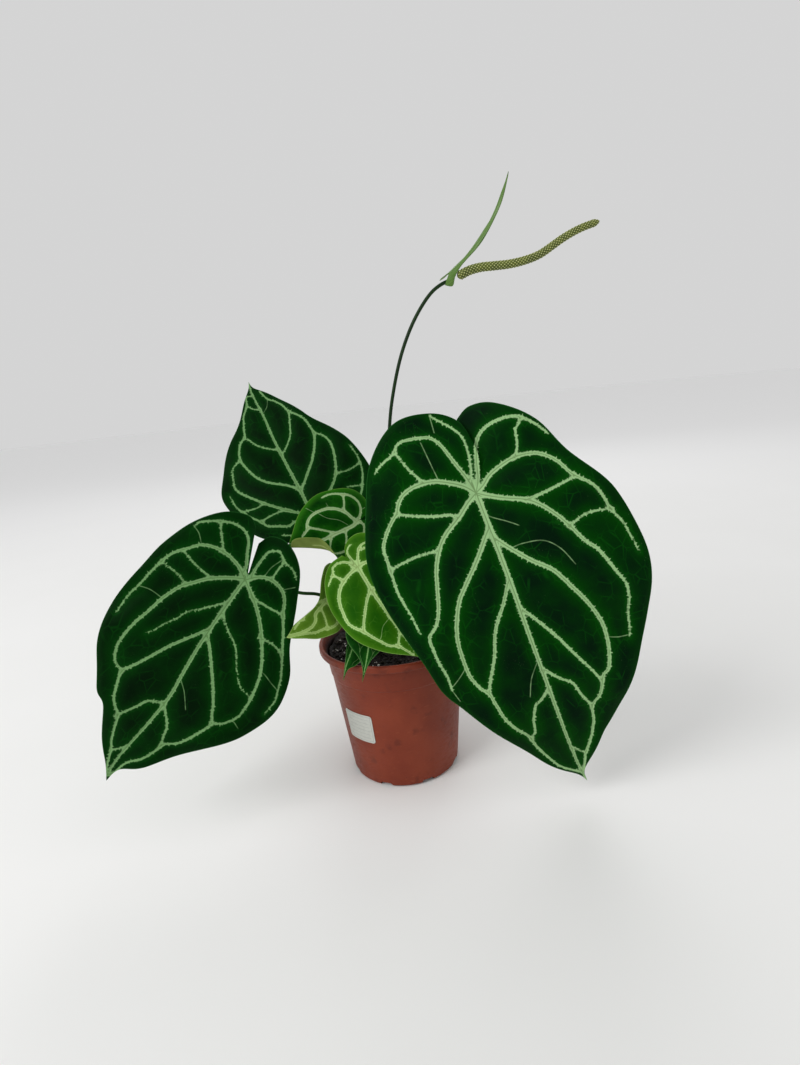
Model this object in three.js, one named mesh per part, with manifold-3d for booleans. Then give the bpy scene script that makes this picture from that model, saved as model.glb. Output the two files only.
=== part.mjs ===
// Potted anthurium hybrid: a velvet-leaved aroid with one flower stalk, in a 12 cm
// nursery pot. Millimetres, +Z up. The origin is the centre of the pot's underside,
// +X points to the right of the plant and -Y to its front.
import * as THREE from 'three';
import { mergeVertices } from 'three/addons/utils/BufferGeometryUtils.js';
import Module from 'manifold-3d';

const wasm = await Module();
wasm.setup();

// Clearance kept between pieces that touch on the real plant
const GAP = 0.3;

// Pot: a thin injection-moulded cone with a rolled lip
const POT_HEIGHT = 110;
const POT_BASE_RADIUS = 43.4;
const POT_NECK_RADIUS = 55;
const POT_LIP_RADIUS = 60;
const POT_LIP_HEIGHT = 6;
const POT_LIP_THICKNESS = 3;
const POT_WALL = 1.2;
const POT_FLOOR = 1.8;
const POT_STEP_HEIGHT = 86;
const POT_STEP_DEPTH = 0.7;
const POT_SEGMENTS = 48;
const DRAIN_COUNT = 8;
const DRAIN_WIDTH = 10;
const DRAIN_HEIGHT = 3.4;
const DRAIN_DEPTH = 9;
const DRAIN_TURN = 20;

// Label: a plain sticker on the front left of the pot wall
const LABEL_LEFT = -149.5;
const LABEL_RIGHT = -118;
const LABEL_BOTTOM = 39.6;
const LABEL_TOP = 64;
const LABEL_THICKNESS = 0.6;

// Potting mix
const SOIL_LEVEL = 103;
const SOIL_ROUGHNESS = 1.5;
const SOIL_SEGMENTS = 40;

// Crown: the short thick stem that everything grows from
const CROWN_RADIUS = 8;
const CROWN_FOOT = 86;
const CROWN_TOP = 123;

// Blades: veins are pressed into the upper face and stand proud below. The halved
// sizes are for leaves shorter than LARGE_LEAF.
const BLADE_THICKNESS = 0.8;
const VEIN_GROOVE = 0.4;
const MIDRIB_DEPTH = 1.5;
const SIDE_RIB_DEPTH = 0.9;
const SIDE_RIBS = 7;
const LARGE_LEAF = 100;
const CROSS_STEPS = 14;

// Rows of a blade, by their share of the margin from the tip round to the notch: those
// past LOBE_ROWS fan out of the sinus, those past NOTCH_ROWS bow along the notch
const LOBE_ROWS = 0.5;
const NOTCH_ROWS = 0.75;
const ROW_CROWDING = 1.1;
const LOBE_REACH = 10;
const WAVE_START = 0.35;

const VEIN_PALE = 0x9dbb8c;
const DARK_GREEN = 0x0c3a17;
const FRESH_GREEN = 0x35701c;
const LIME_GREEN = 0x5d8426;

// Every leaf is drawn in its own plane. The sinus, where the stalk joins, is the origin;
// v runs along the midrib to the tip and u runs across. right and left are the margin's
// points on the +u and -u sides, from below the tip round to the notch. heading, pitch
// and roll place the midrib at the sinus, in degrees. droop bends the midrib down over
// its length, fold lifts the halves, curl bends them back. notch bows the inner edges
// of the two lobes, lift raises the lobes, wave ripples the margin, and turn rolls one
// half over beyond a line from `near` at the start to `far` at the tip.
const LEAVES = {
  big: {
    sinus: [61, -85, 232], heading: -37, pitch: -71, roll: 61,
    length: 231, droop: 26, fold: 7, curl: -20, colour: DARK_GREEN,
    right: [
      [5, 220], [23, 200], [40, 168], [60, 135], [68.5, 118], [72, 90], [82, 50], [81, 18],
      [69, -15], [56, -40], [33, -58], [10, -57], [-5, -46], [-9, -28],
    ],
    left: [
      [-2, 217], [-20, 191], [-35, 174], [-62, 133], [-75, 107], [-86, 68], [-79, 28],
      [-62, -3], [-50, -29], [-30, -48], [-15, -52.5], [-5, -48],
    ],
    notch: [-3, -4], lift: [3, -2], wave: 2.2, waves: 5, rows: 26, columns: 7,
  },
  left: {
    sinus: [-95, -55, 185], heading: -158, pitch: -46, roll: -73,
    length: 173, droop: 17, fold: 6, curl: -18, colour: DARK_GREEN,
    right: [
      [7, 161], [19, 146], [30, 123], [41, 115], [57, 87], [64, 60], [61, 30], [59, 10],
      [51, -11], [38, -29], [24, -36], [16, -33], [13, -27],
    ],
    left: [
      [-3, 160], [-17, 147], [-40, 116], [-60, 94], [-68, 68], [-64, 43], [-50, 22],
      [-38, -4], [-26, -25], [-10, -35], [3, -33], [7.5, -24],
    ],
    notch: [0, 0], lift: [1, -1], wave: 1.8, waves: 5, rows: 24, columns: 6,
  },
  back: {
    sinus: [-51, 22, 205], heading: 125.5, pitch: 53, roll: -31,
    length: 158, droop: 14, fold: 6, curl: -16, colour: DARK_GREEN,
    right: [
      [2, 147], [14, 130], [29, 100], [34, 90], [46, 72], [55, 48], [59, 22], [53, 0],
      [37, -17], [20, -20], [7, -15],
    ],
    left: [
      [-4, 147], [-20, 121], [-37, 98], [-52, 76], [-61, 55], [-58, 33], [-50, 12],
      [-36, -3], [-20, -11], [-6, -12],
    ],
    notch: [-1, -1], lift: [1, -1], wave: 1.6, waves: 4, rows: 22, columns: 6,
  },
  middle: {
    sinus: [-17, -8, 207], heading: -143, pitch: -4, roll: -73,
    length: 57, droop: 20, fold: 6, curl: -20, colour: DARK_GREEN,
    right: [
      [7, 52], [20, 41], [28, 25], [28, 9], [23, -6], [14, -13], [4, -11],
    ],
    left: [
      [-10, 54], [-19, 42], [-23, 26], [-22, 6], [-15, -9], [-4, -11],
    ],
    notch: [-0.6, -0.6], lift: [0.5, -0.5], wave: 0.9, waves: 3, rows: 18, columns: 7,
    turn: { side: -1, start: 24, full: 38, near: 15, far: 2, angle: 150 },
  },
  light: {
    sinus: [-20, -40, 181], heading: -46.5, pitch: -46.5, roll: 41,
    length: 79, droop: 20, fold: 6, curl: -20, colour: FRESH_GREEN,
    right: [
      [6, 73], [20, 60], [31, 42], [34, 22], [31, 7], [25, -5], [16, -12], [5, -12],
    ],
    left: [
      [-6, 73], [-20, 58], [-30, 41], [-33, 20], [-28, -5], [-17, -18], [-8, -21], [0, -18],
      [3.5, -11],
    ],
    notch: [-0.5, -1], lift: [1.6, -1], wave: 1, waves: 3, rows: 18, columns: 5,
  },
  lime: {
    sinus: [-46, -32, 155], heading: -118, pitch: -7.5, roll: -51.5,
    length: 49, droop: 10, fold: 14, curl: -12, colour: LIME_GREEN,
    right: [
      [1.5, 42], [3.5, 35], [4, 29], [2.6, 21], [2, 14], [4, 6], [9, -2], [16, -12],
      [20, -21], [19, -31], [12, -33], [5, -22],
    ],
    left: [
      [-8, 42], [-17, 30], [-22, 17], [-20, 4], [-13, -10], [-4, -12],
    ],
    notch: [0, 0], lift: [0, -1], wave: 0.8, waves: 3, rows: 18, columns: 5,
    turn: { side: 1, start: 0, full: 16, near: 1, far: 0.8, angle: -70 },
  },
  small_a: {
    sinus: [-28, -42, 126], heading: -111.5, pitch: -34, roll: -27,
    length: 31, droop: 30, fold: 8, curl: -14, colour: DARK_GREEN,
    right: [
      [1.5, 24], [3, 15], [4.5, 9], [5, 2], [4.5, -5], [2, -7],
    ],
    left: [
      [-1, 23], [-6, 18], [-10, 9], [-10, -1], [-7, -8], [-2, -8],
    ],
    notch: [0, 0], lift: [0, 0], wave: 0.4, waves: 2, rows: 13, columns: 4,
  },
  small_b: {
    sinus: [-17, -53, 132], heading: -105, pitch: -36.5, roll: -18.5,
    length: 33, droop: 34, fold: 8, curl: -14, colour: DARK_GREEN,
    right: [
      [1.3, 24], [5, 17], [14, 8], [17, -1], [12, -9], [3, -9],
    ],
    left: [
      [-1.5, 24], [-4, 17], [-10, 8], [-13, -1], [-9, -9], [-2, -9],
    ],
    notch: [0, 0], lift: [0, 0], wave: 0.4, waves: 2, rows: 13, columns: 4,
  },
};

// Leaf stalks: where each one leaves the crown, the points it passes, and its radius.
// The last stretch, up to the underside of the blade, follows from the leaf.
const STALKS = {
  big: { azimuth: -48, height: 114, via: [[26, -24, 160], [48, -52, 212]], radius: 2.1 },
  left: {
    azimuth: -168, height: 109, via: [[-34, -11, 141], [-52, -22, 156.7], [-66, -33, 164]],
    radius: 1.3,
  },
  back: { azimuth: 140, height: 112, via: [[-19, 13, 140], [-35, 17, 176]], radius: 1.8 },
  middle: { azimuth: 180, height: 119, via: [[-13, 1, 150], [-15, 3, 185]], radius: 1.6 },
  light: { azimuth: -80, height: 116, via: [[-5, -14, 140], [-14, -24, 165]], radius: 1.7 },
  lime: { azimuth: -118, height: 113, via: [[-18, -16, 134]], radius: 1.5 },
  small_a: { azimuth: -142, height: 107, via: [[-14, -16, 116]], radius: 1.3 },
  small_b: { azimuth: -95, height: 107, via: [[-1, -24, 118], [-7, -42, 125]], radius: 1.3 },
};

const STALK_SIDES = 8;

// Flower stalk, spathe and spadix. The base of the spathe hangs over the joint as a hood.
const PEDUNCLE_RADIUS = 1.25;
const PEDUNCLE_ROUTE = [
  [9, 5, 117], [9, 4, 129], [9, 1, 190], [12, 0, 255], [14, 0, 272], [18, 0, 292],
  [28, 0, 323.5], [40, 0, 347], [52.6, 0, 362.9], [60.2, 0, 368.2], [70, 0, 371.7],
];
const SPADIX_ROUTE = [
  [73, 0, 372.6], [76, 0, 373.9], [82, 0, 376.1], [90, 0, 377.4], [100, 0, 377.5],
  [112, 0, 377.8], [124, 0, 379.6], [133, 0, 382.3], [142.6, 0, 387.4], [150, 0, 391.4],
  [162, 0, 396.4], [176, 0, 400],
];
const SPADIX_RADIUS = 2.8;
const SPADIX_TIP_RADIUS = 2;
const FLORET_HEIGHT = 0.55;
const FLORETS_ROUND = 8;
const FLORET_ROWS = 44;
const SPATHE = {
  sinus: [67.6, 0, 375.9], heading: 0, pitch: 33, roll: 30,
  length: 74, droop: -46, fold: -18, curl: -160, colour: 0x4f7d2c,
  right: [[1.1, 66], [2.3, 50], [2.8, 30], [2.4, 14], [3, 7], [5.5, 1], [9.5, -4], [6, -8]],
  left: [[-1.1, 66], [-2.3, 50], [-2.8, 30], [-2.4, 14], [-2.6, 7], [-3.4, 1], [-5, -4], [-3, -8]],
  notch: [0, 0], lift: [0, 0], wave: 0.3, waves: 3, rows: 16, columns: 3,
};

// Dry scale leaves that wrap the crown on the sides with no stalk
const SCALE_AZIMUTHS = [60, 100];
const SCALE_HEIGHT = 108;
const SCALE_LEAF = {
  length: 24, droop: -14, fold: 24, curl: 16, colour: 0x6b4a26,
  right: [[1.2, 20], [3.2, 12], [3.7, 4], [3, -1]],
  left: [[-1.2, 20], [-3.2, 12], [-3.7, 4], [-3, -1]],
  notch: [0, 0], lift: [0, 0], wave: 0.3, waves: 2, rows: 8, columns: 3,
};

const radians = THREE.MathUtils.degToRad;

function smooth(start, end, value) {
  const t = Math.min(1, Math.max(0, (value - start) / (end - start)));
  return t * t * (3 - 2 * t);
}

function geometryFrom(positions, triangles) {
  const geometry = new THREE.BufferGeometry();
  geometry.setAttribute('position', new THREE.Float32BufferAttribute(positions, 3));
  geometry.setIndex(triangles);
  geometry.computeVertexNormals();
  return geometry;
}

function toSolid(geometry) {
  const bare = geometry.clone();
  bare.deleteAttribute('normal');
  bare.deleteAttribute('uv');
  const merged = mergeVertices(bare, 1e-4);
  const mesh = new wasm.Mesh({
    numProp: 3,
    vertProperties: new Float32Array(merged.attributes.position.array),
    triVerts: new Uint32Array(merged.index.array),
  });
  mesh.merge();
  return new wasm.Manifold(mesh);
}

function fromSolid(solid) {
  const mesh = solid.getMesh();
  const positions = [];
  for (let i = 0; i < mesh.vertProperties.length; i += mesh.numProp) {
    positions.push(mesh.vertProperties[i], mesh.vertProperties[i + 1], mesh.vertProperties[i + 2]);
  }
  return geometryFrom(positions, Array.from(mesh.triVerts));
}

// A turned body about the Z axis from its profile of [radius, height] points
function turned(profile, segments) {
  const points = profile.map(([radius, height]) => new THREE.Vector2(radius, height));
  const geometry = new THREE.LatheGeometry(points, segments);
  geometry.rotateX(Math.PI / 2);
  return geometry;
}

function wallRadius(height) {
  const share = height / (POT_HEIGHT - POT_LIP_HEIGHT);
  const step = height > POT_STEP_HEIGHT ? POT_STEP_DEPTH : 0;
  return POT_BASE_RADIUS + (POT_NECK_RADIUS - POT_STEP_DEPTH - POT_BASE_RADIUS) * share + step;
}

function potGeometry() {
  const neck = POT_HEIGHT - POT_LIP_HEIGHT;
  const inner = POT_LIP_RADIUS - POT_LIP_THICKNESS;
  const profile = [
    [0, 0],
    [POT_BASE_RADIUS - 2, 0],
    [POT_BASE_RADIUS, 1.5],
    [wallRadius(POT_STEP_HEIGHT), POT_STEP_HEIGHT],
    [wallRadius(POT_STEP_HEIGHT) + POT_STEP_DEPTH, POT_STEP_HEIGHT + 0.8],
    [POT_NECK_RADIUS, neck],
    [POT_LIP_RADIUS - 0.8, neck],
    [POT_LIP_RADIUS, neck + 1],
    [POT_LIP_RADIUS, POT_HEIGHT - 1],
    [POT_LIP_RADIUS - 1, POT_HEIGHT],
    [inner + 0.8, POT_HEIGHT],
    [inner, POT_HEIGHT - 0.8],
    [POT_NECK_RADIUS - POT_WALL, neck - 1.5],
    [POT_BASE_RADIUS - POT_WALL, POT_FLOOR],
    [0, POT_FLOOR],
  ];
  let solid = toSolid(turned(profile, POT_SEGMENTS));
  for (let i = 0; i < DRAIN_COUNT; i += 1) {
    const slot = new THREE.BoxGeometry(DRAIN_DEPTH, DRAIN_WIDTH, DRAIN_HEIGHT * 2);
    slot.translate(POT_BASE_RADIUS, 0, 0);
    slot.rotateZ(radians(DRAIN_TURN) + (i * 2 * Math.PI) / DRAIN_COUNT);
    solid = solid.subtract(toSolid(slot));
  }
  return fromSolid(solid);
}

function labelGeometry() {
  const across = 8;
  const corner = 3;
  const positions = [];
  const triangles = [];
  const width = across + 1;
  for (let layer = 0; layer < 2; layer += 1) {
    for (let row = 0; row < 2; row += 1) {
      for (let i = 0; i <= across; i += 1) {
        const azimuth = radians(LABEL_LEFT + ((LABEL_RIGHT - LABEL_LEFT) * i) / across);
        const cut = i === 0 || i === across ? corner : 0;
        const height = row ? LABEL_TOP - cut : LABEL_BOTTOM + cut;
        const radius = wallRadius(height) + GAP + layer * LABEL_THICKNESS;
        positions.push(radius * Math.cos(azimuth), radius * Math.sin(azimuth), height);
      }
    }
  }
  const layerSize = 2 * width;
  const quad = (a, b, c, d) => triangles.push(a, b, c, a, c, d);
  for (let i = 0; i < across; i += 1) {
    quad(layerSize + i, layerSize + i + 1, layerSize + width + i + 1, layerSize + width + i);
    quad(i, width + i, width + i + 1, i + 1);
    quad(i, i + 1, layerSize + i + 1, layerSize + i);
    quad(width + i, layerSize + width + i, layerSize + width + i + 1, width + i + 1);
  }
  quad(0, layerSize, layerSize + width, width);
  quad(across, width + across, layerSize + width + across, layerSize + across);
  return geometryFrom(positions, triangles);
}

// Height of the potting mix, uneven by a few slow waves
function soilHeight(x, y) {
  const waves = Math.sin(x * 0.19 + 1.3) * Math.cos(y * 0.17 - 0.6) + 0.6 * Math.sin(x * 0.43 - y * 0.37);
  return SOIL_LEVEL + SOIL_ROUGHNESS * waves;
}

function soilGeometry() {
  const hole = CROWN_RADIUS + GAP;
  const floor = POT_FLOOR + GAP;
  const innerWall = (height) => wallRadius(height) - POT_WALL - POT_STEP_DEPTH - GAP;
  const rim = innerWall(SOIL_LEVEL) - 0.5;
  const profile = [
    [0, floor],
    [POT_BASE_RADIUS - DRAIN_DEPTH, floor],
    [innerWall(floor + 5) - 0.5, DRAIN_HEIGHT + 3],
    [rim, SOIL_LEVEL],
  ];
  const rings = 7;
  for (let i = 1; i <= rings; i += 1) {
    profile.push([rim - ((rim - hole) * i) / rings, SOIL_LEVEL]);
  }
  profile.push([hole, CROWN_FOOT - GAP]);
  profile.push([0, CROWN_FOOT - GAP]);
  const geometry = turned(profile, SOIL_SEGMENTS);
  const position = geometry.attributes.position;
  for (let i = 0; i < position.count; i += 1) {
    if (position.getZ(i) > SOIL_LEVEL - 0.01) {
      position.setZ(i, soilHeight(position.getX(i), position.getY(i)));
    }
  }
  return geometry;
}

// The stem is ringed by the scars of old stalks
function crownGeometry() {
  const profile = [[0, CROWN_FOOT], [CROWN_RADIUS - 1, CROWN_FOOT]];
  const scars = 5;
  const span = CROWN_TOP - CROWN_FOOT - 5;
  for (let i = 0; i < scars; i += 1) {
    const base = CROWN_FOOT + 1 + (span * i) / scars;
    profile.push([CROWN_RADIUS - 0.8, base]);
    profile.push([CROWN_RADIUS, base + (span / scars) * 0.7]);
  }
  profile.push([CROWN_RADIUS - 2, CROWN_TOP - 2], [CROWN_RADIUS - 4.5, CROWN_TOP], [0, CROWN_TOP]);
  return turned(profile, 20);
}

// A round stem along a curve, with its radius given for each share of the length
function stemGeometry(curve, radiusAt, sides, rings) {
  const frames = curve.computeFrenetFrames(rings, false);
  const positions = [];
  const triangles = [];
  for (let i = 0; i <= rings; i += 1) {
    const centre = curve.getPointAt(i / rings);
    for (let j = 0; j < sides; j += 1) {
      const angle = (j * 2 * Math.PI) / sides;
      const radius = radiusAt(i / rings, j, i);
      const point = centre.clone()
        .addScaledVector(frames.normals[i], radius * Math.cos(angle))
        .addScaledVector(frames.binormals[i], radius * Math.sin(angle));
      positions.push(point.x, point.y, point.z);
    }
  }
  for (let i = 0; i < rings; i += 1) {
    for (let j = 0; j < sides; j += 1) {
      const a = i * sides + j;
      const b = i * sides + ((j + 1) % sides);
      triangles.push(a, b, b + sides, a, b + sides, a + sides);
    }
  }
  const last = rings * sides;
  for (let j = 1; j < sides - 1; j += 1) {
    triangles.push(0, j + 1, j);
    triangles.push(last, last + j, last + j + 1);
  }
  return geometryFrom(positions, triangles);
}

// Axes of a leaf at its sinus: along the midrib, across to +u, and up from the face
function leafAxes(leaf) {
  const heading = radians(leaf.heading);
  const pitch = radians(leaf.pitch);
  const roll = radians(leaf.roll);
  const along = new THREE.Vector3(
    Math.cos(heading) * Math.cos(pitch), Math.sin(heading) * Math.cos(pitch), Math.sin(pitch));
  const level = new THREE.Vector3(
    -Math.cos(heading) * Math.sin(pitch), -Math.sin(heading) * Math.sin(pitch), Math.cos(pitch));
  const up = level.applyAxisAngle(along, roll);
  const across = new THREE.Vector3().crossVectors(along, up);
  return { along, across, up };
}

// A point of the leaf at (u, v), raised by height from the bent face
function leafPoint(leaf, axes, side, u, v, height) {
  const bend = radians(leaf.droop) / leaf.length;
  const forward = Math.sin(bend * v) / bend;
  const down = (1 - Math.cos(bend * v)) / bend;
  const up = axes.up.clone().multiplyScalar(Math.cos(bend * v))
    .addScaledVector(axes.along, Math.sin(bend * v));
  const half = 0.5 * leaf.length;
  const reach = u * side;
  const turn = leaf.turn && leaf.turn.side === side ? leaf.turn : null;
  let x = 0;
  let z = 0;
  let angle = radians(leaf.fold);
  for (let i = 0; i < CROSS_STEPS; i += 1) {
    const s = (reach * (i + 0.5)) / CROSS_STEPS;
    angle = radians(leaf.fold) + (radians(leaf.curl) * s) / half;
    if (turn) {
      const share = (v - turn.start) / (leaf.length - turn.start);
      const line = turn.near + (turn.far - turn.near) * Math.max(0, share);
      angle += radians(turn.angle) * smooth(turn.start, turn.full, v) * smooth(line - 2, line + 3, s);
    }
    x += (Math.cos(angle) * reach) / CROSS_STEPS;
    z += (Math.sin(angle) * reach) / CROSS_STEPS;
  }
  if (reach === 0) angle = 0;
  return new THREE.Vector3(...leaf.sinus)
    .addScaledVector(axes.along, forward)
    .addScaledVector(axes.up, -down)
    .addScaledVector(axes.across, side * (x - height * Math.sin(angle)))
    .addScaledVector(up, z + height * Math.cos(angle));
}

// A triangle list that welds equal points and leaves out empty triangles
class Sheet {
  positions = [];

  triangles = [];

  lookup = new Map();

  vertex(point) {
    const key = point.toArray().map((n) => Math.round(n * 1e4)).join();
    if (!this.lookup.has(key)) {
      this.lookup.set(key, this.positions.length / 3);
      this.positions.push(point.x, point.y, point.z);
    }
    return this.lookup.get(key);
  }

  triangle(a, b, c) {
    if (a !== b && b !== c && c !== a) this.triangles.push(a, b, c);
  }

  quad([a, b, c, d], turnedRound) {
    if (turnedRound) {
      this.triangle(a, c, b);
      this.triangle(a, d, c);
    } else {
      this.triangle(a, b, c);
      this.triangle(a, c, d);
    }
  }
}

function leafSize(leaf) {
  return leaf.length > LARGE_LEAF ? 1 : 0.5;
}

function leafMargin(leaf, side) {
  const margin = side > 0 ? leaf.right : leaf.left;
  const points = [[0, leaf.length], ...margin].map(([u, v]) => new THREE.Vector2(u, v));
  const outline = new THREE.SplineCurve(points);
  outline.arcLengthDivisions = 400;
  return outline;
}

// Where row s of a half meets the midrib
function rowRoot(leaf, s) {
  return leaf.length * Math.max(0, 1 - s / LOBE_ROWS);
}

// The point a share t of the way along row s, from the midrib to the margin
function rowPoint(leaf, side, edge, s, t) {
  const root = rowRoot(leaf, s);
  const run = new THREE.Vector2(edge.x, edge.y - root);
  const normal = new THREE.Vector2(-run.y, run.x).normalize();
  const bow = leaf.notch[side > 0 ? 0 : 1] * smooth(NOTCH_ROWS, 1, s) * side;
  const swing = 4 * t * (1 - t) * bow;
  return new THREE.Vector2(run.x * t + normal.x * swing, root + run.y * t + normal.y * swing);
}

// How far the sheet stands above the bent face: raised lobes and a waved margin
function bladeRise(leaf, side, s, t, v) {
  const lobe = leaf.lift[side > 0 ? 0 : 1] * (1 - Math.exp(Math.min(0, v) / LOBE_REACH));
  const wave = leaf.wave * Math.sin(2 * Math.PI * leaf.waves * s + side) * smooth(WAVE_START, 1, t);
  return lobe * smooth(0, 0.3, t) + wave * smooth(0, 0.15, s);
}

// Distances of the upper and the lower face from the middle of the sheet
function bladeFaces(leaf, s, t) {
  const size = leafSize(leaf);
  const ribFade = smooth(0, 0.12, s) * (1 - smooth(0.9, 1, s)) * (1 - 0.8 * t);
  const rib = Math.max(0, Math.cos(2 * Math.PI * SIDE_RIBS * s)) ** 4 * ribFade;
  const thinning = 1 - 0.7 * smooth(0, 1, rowRoot(leaf, s) / leaf.length);
  const midrib = (1 - smooth(0, 0.2, t)) * thinning * smooth(0, 0.06, s);
  const above = BLADE_THICKNESS / 2 - VEIN_GROOVE * size * rib * smooth(0, 0.2, t);
  const below = BLADE_THICKNESS / 2 + size * Math.max(MIDRIB_DEPTH * midrib, SIDE_RIB_DEPTH * rib);
  return { above, below };
}

// A blade is one closed sheet. Its rows run from the midrib out to the margin like side
// veins, and both faces are split into triangles alike.
function bladeGeometry(leaf) {
  const axes = leafAxes(leaf);
  const { rows, columns } = leaf;
  const sheet = new Sheet();
  for (const side of [1, -1]) {
    const outline = leafMargin(leaf, side);
    const upper = [];
    const lower = [];
    for (let i = 0; i <= rows; i += 1) {
      const s = (i / rows) ** ROW_CROWDING;
      const edge = outline.getPointAt(s);
      upper.push([]);
      lower.push([]);
      for (let j = 0; j <= columns; j += 1) {
        const t = j / columns;
        const point = rowPoint(leaf, side, edge, s, t);
        const rise = bladeRise(leaf, side, s, t, point.y);
        const { above, below } = bladeFaces(leaf, s, t);
        const u = j ? point.x : 0;
        upper[i].push(sheet.vertex(leafPoint(leaf, axes, side, u, point.y, rise + above)));
        lower[i].push(sheet.vertex(leafPoint(leaf, axes, side, u, point.y, rise - below)));
      }
    }
    closeHalf(sheet, side, upper, lower);
  }
  return geometryFrom(sheet.positions, sheet.triangles);
}

// The two faces of a blade's half, its margin and the inner edge of its lobe
function closeHalf(sheet, side, upper, lower) {
  const rows = upper.length - 1;
  const columns = upper[0].length - 1;
  for (let i = rows - 1; i >= 0; i -= 1) {
    for (let j = 0; j < columns; j += 1) {
      const corners = [[i, j], [i, j + 1], [i + 1, j + 1], [i + 1, j]];
      sheet.quad(corners.map(([m, n]) => upper[m][n]), side > 0);
      sheet.quad(corners.map(([m, n]) => lower[m][n]), side < 0);
    }
  }
  const rim = (face) => face.map((row) => row[columns]).concat([...face[rows]].reverse().slice(1));
  const upperRim = rim(upper);
  const lowerRim = rim(lower);
  for (let i = 0; i + 1 < upperRim.length; i += 1) {
    sheet.quad([upperRim[i], upperRim[i + 1], lowerRim[i + 1], lowerRim[i]], side < 0);
  }
}

// The stalk of a leaf: from the crown's side to a swollen joint under the sinus
function stalkGeometry(leaf, stalk) {
  const axes = leafAxes(leaf);
  const azimuth = radians(stalk.azimuth);
  const start = CROWN_RADIUS + GAP + stalk.radius * 1.25;
  const outward = new THREE.Vector3(Math.cos(azimuth), Math.sin(azimuth), 0);
  const foot = outward.clone().multiplyScalar(start).setZ(stalk.height);
  const shoulder = outward.clone().multiplyScalar(start + 1).setZ(stalk.height + 6);
  const size = leafSize(leaf);
  const clearance = BLADE_THICKNESS / 2 + size * MIDRIB_DEPTH + 2 * GAP;
  const end = new THREE.Vector3(...leaf.sinus).addScaledVector(axes.up, -clearance);
  const neck = end.clone().addScaledVector(axes.up, -6 * size - 3).addScaledVector(axes.along, -2);
  const via = stalk.via.map((point) => new THREE.Vector3(...point));
  const curve = new THREE.CatmullRomCurve3([foot, shoulder, ...via, neck, end]);
  const taper = (share) => 1.1 - 0.25 * share;
  const joint = (share) => 0.3 * Math.exp(-(((share - 0.95) / 0.04) ** 2));
  const swelling = (share) => 1 + 0.25 * Math.exp(-share * 14) + joint(share);
  const rings = leaf.length > LARGE_LEAF ? 20 : 12;
  return stemGeometry(curve, (share) => stalk.radius * taper(share) * swelling(share), STALK_SIDES, rings);
}

function routeCurve(route) {
  return new THREE.CatmullRomCurve3(route.map((point) => new THREE.Vector3(...point)));
}

// Florets stand on the spadix in a diamond lattice, two mesh steps to each
function spadixGeometry() {
  const rings = FLORET_ROWS * 2;
  const radiusAt = (share, j, i) => {
    const taper = SPADIX_RADIUS + (SPADIX_TIP_RADIUS - SPADIX_RADIUS) * share;
    const ends = Math.sqrt(Math.max(0.02, Math.min(1, share / 0.02, (1 - share) / 0.035)));
    const raised = (i + j) % 2 === 0 ? 1 : 0;
    return (taper + FLORET_HEIGHT * raised) * ends;
  };
  return stemGeometry(routeCurve(SPADIX_ROUTE), radiusAt, FLORETS_ROUND * 2, rings);
}

function material(colour, roughness) {
  return new THREE.MeshStandardMaterial({ color: colour, roughness, metalness: 0 });
}

const plant = new THREE.Group();

function add(name, geometry, surface) {
  const mesh = new THREE.Mesh(geometry, surface);
  mesh.name = name;
  plant.add(mesh);
}

add('pot', potGeometry(), material(0x8a4630, 0.55));
add('label', labelGeometry(), material(0xe8e8e4, 0.5));
add('soil', soilGeometry(), material(0x17110d, 0.95));
add('crown', crownGeometry(), material(0x4a4a22, 0.8));

for (const [name, leaf] of Object.entries(LEAVES)) {
  add(`leaf_${name}`, bladeGeometry(leaf), material(leaf.colour, 0.6));
  add(`stalk_${name}`, stalkGeometry(leaf, STALKS[name]), material(VEIN_PALE, 0.55));
}

SCALE_AZIMUTHS.forEach((azimuth, index) => {
  const angle = radians(azimuth);
  const radius = CROWN_RADIUS + 2.4;
  const sinus = [radius * Math.cos(angle), radius * Math.sin(angle), SCALE_HEIGHT];
  const leaf = { ...SCALE_LEAF, sinus, heading: azimuth, pitch: 72, roll: 0 };
  add(`scale_leaf_${index + 1}`, bladeGeometry(leaf), material(leaf.colour, 0.85));
});

const peduncle = stemGeometry(routeCurve(PEDUNCLE_ROUTE), () => PEDUNCLE_RADIUS, STALK_SIDES, 36);
add('peduncle', peduncle, material(0x2c4a1c, 0.5));
add('spathe', bladeGeometry(SPATHE), material(SPATHE.colour, 0.5));
add('spadix', spadixGeometry(), material(0x8a9a3a, 0.6));

export default plant;
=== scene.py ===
"""Looks of the potted anthurium hybrid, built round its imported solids.

Lengths in this file are millimetres, and become metres where a mesh is made. Blades are
given in their own plane: v runs along the midrib from the sinus to the tip, u across.
"""

import math

import bmesh
import bpy
import numpy as np
from mathutils import Matrix, Vector, noise
from mathutils.kdtree import KDTree


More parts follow.
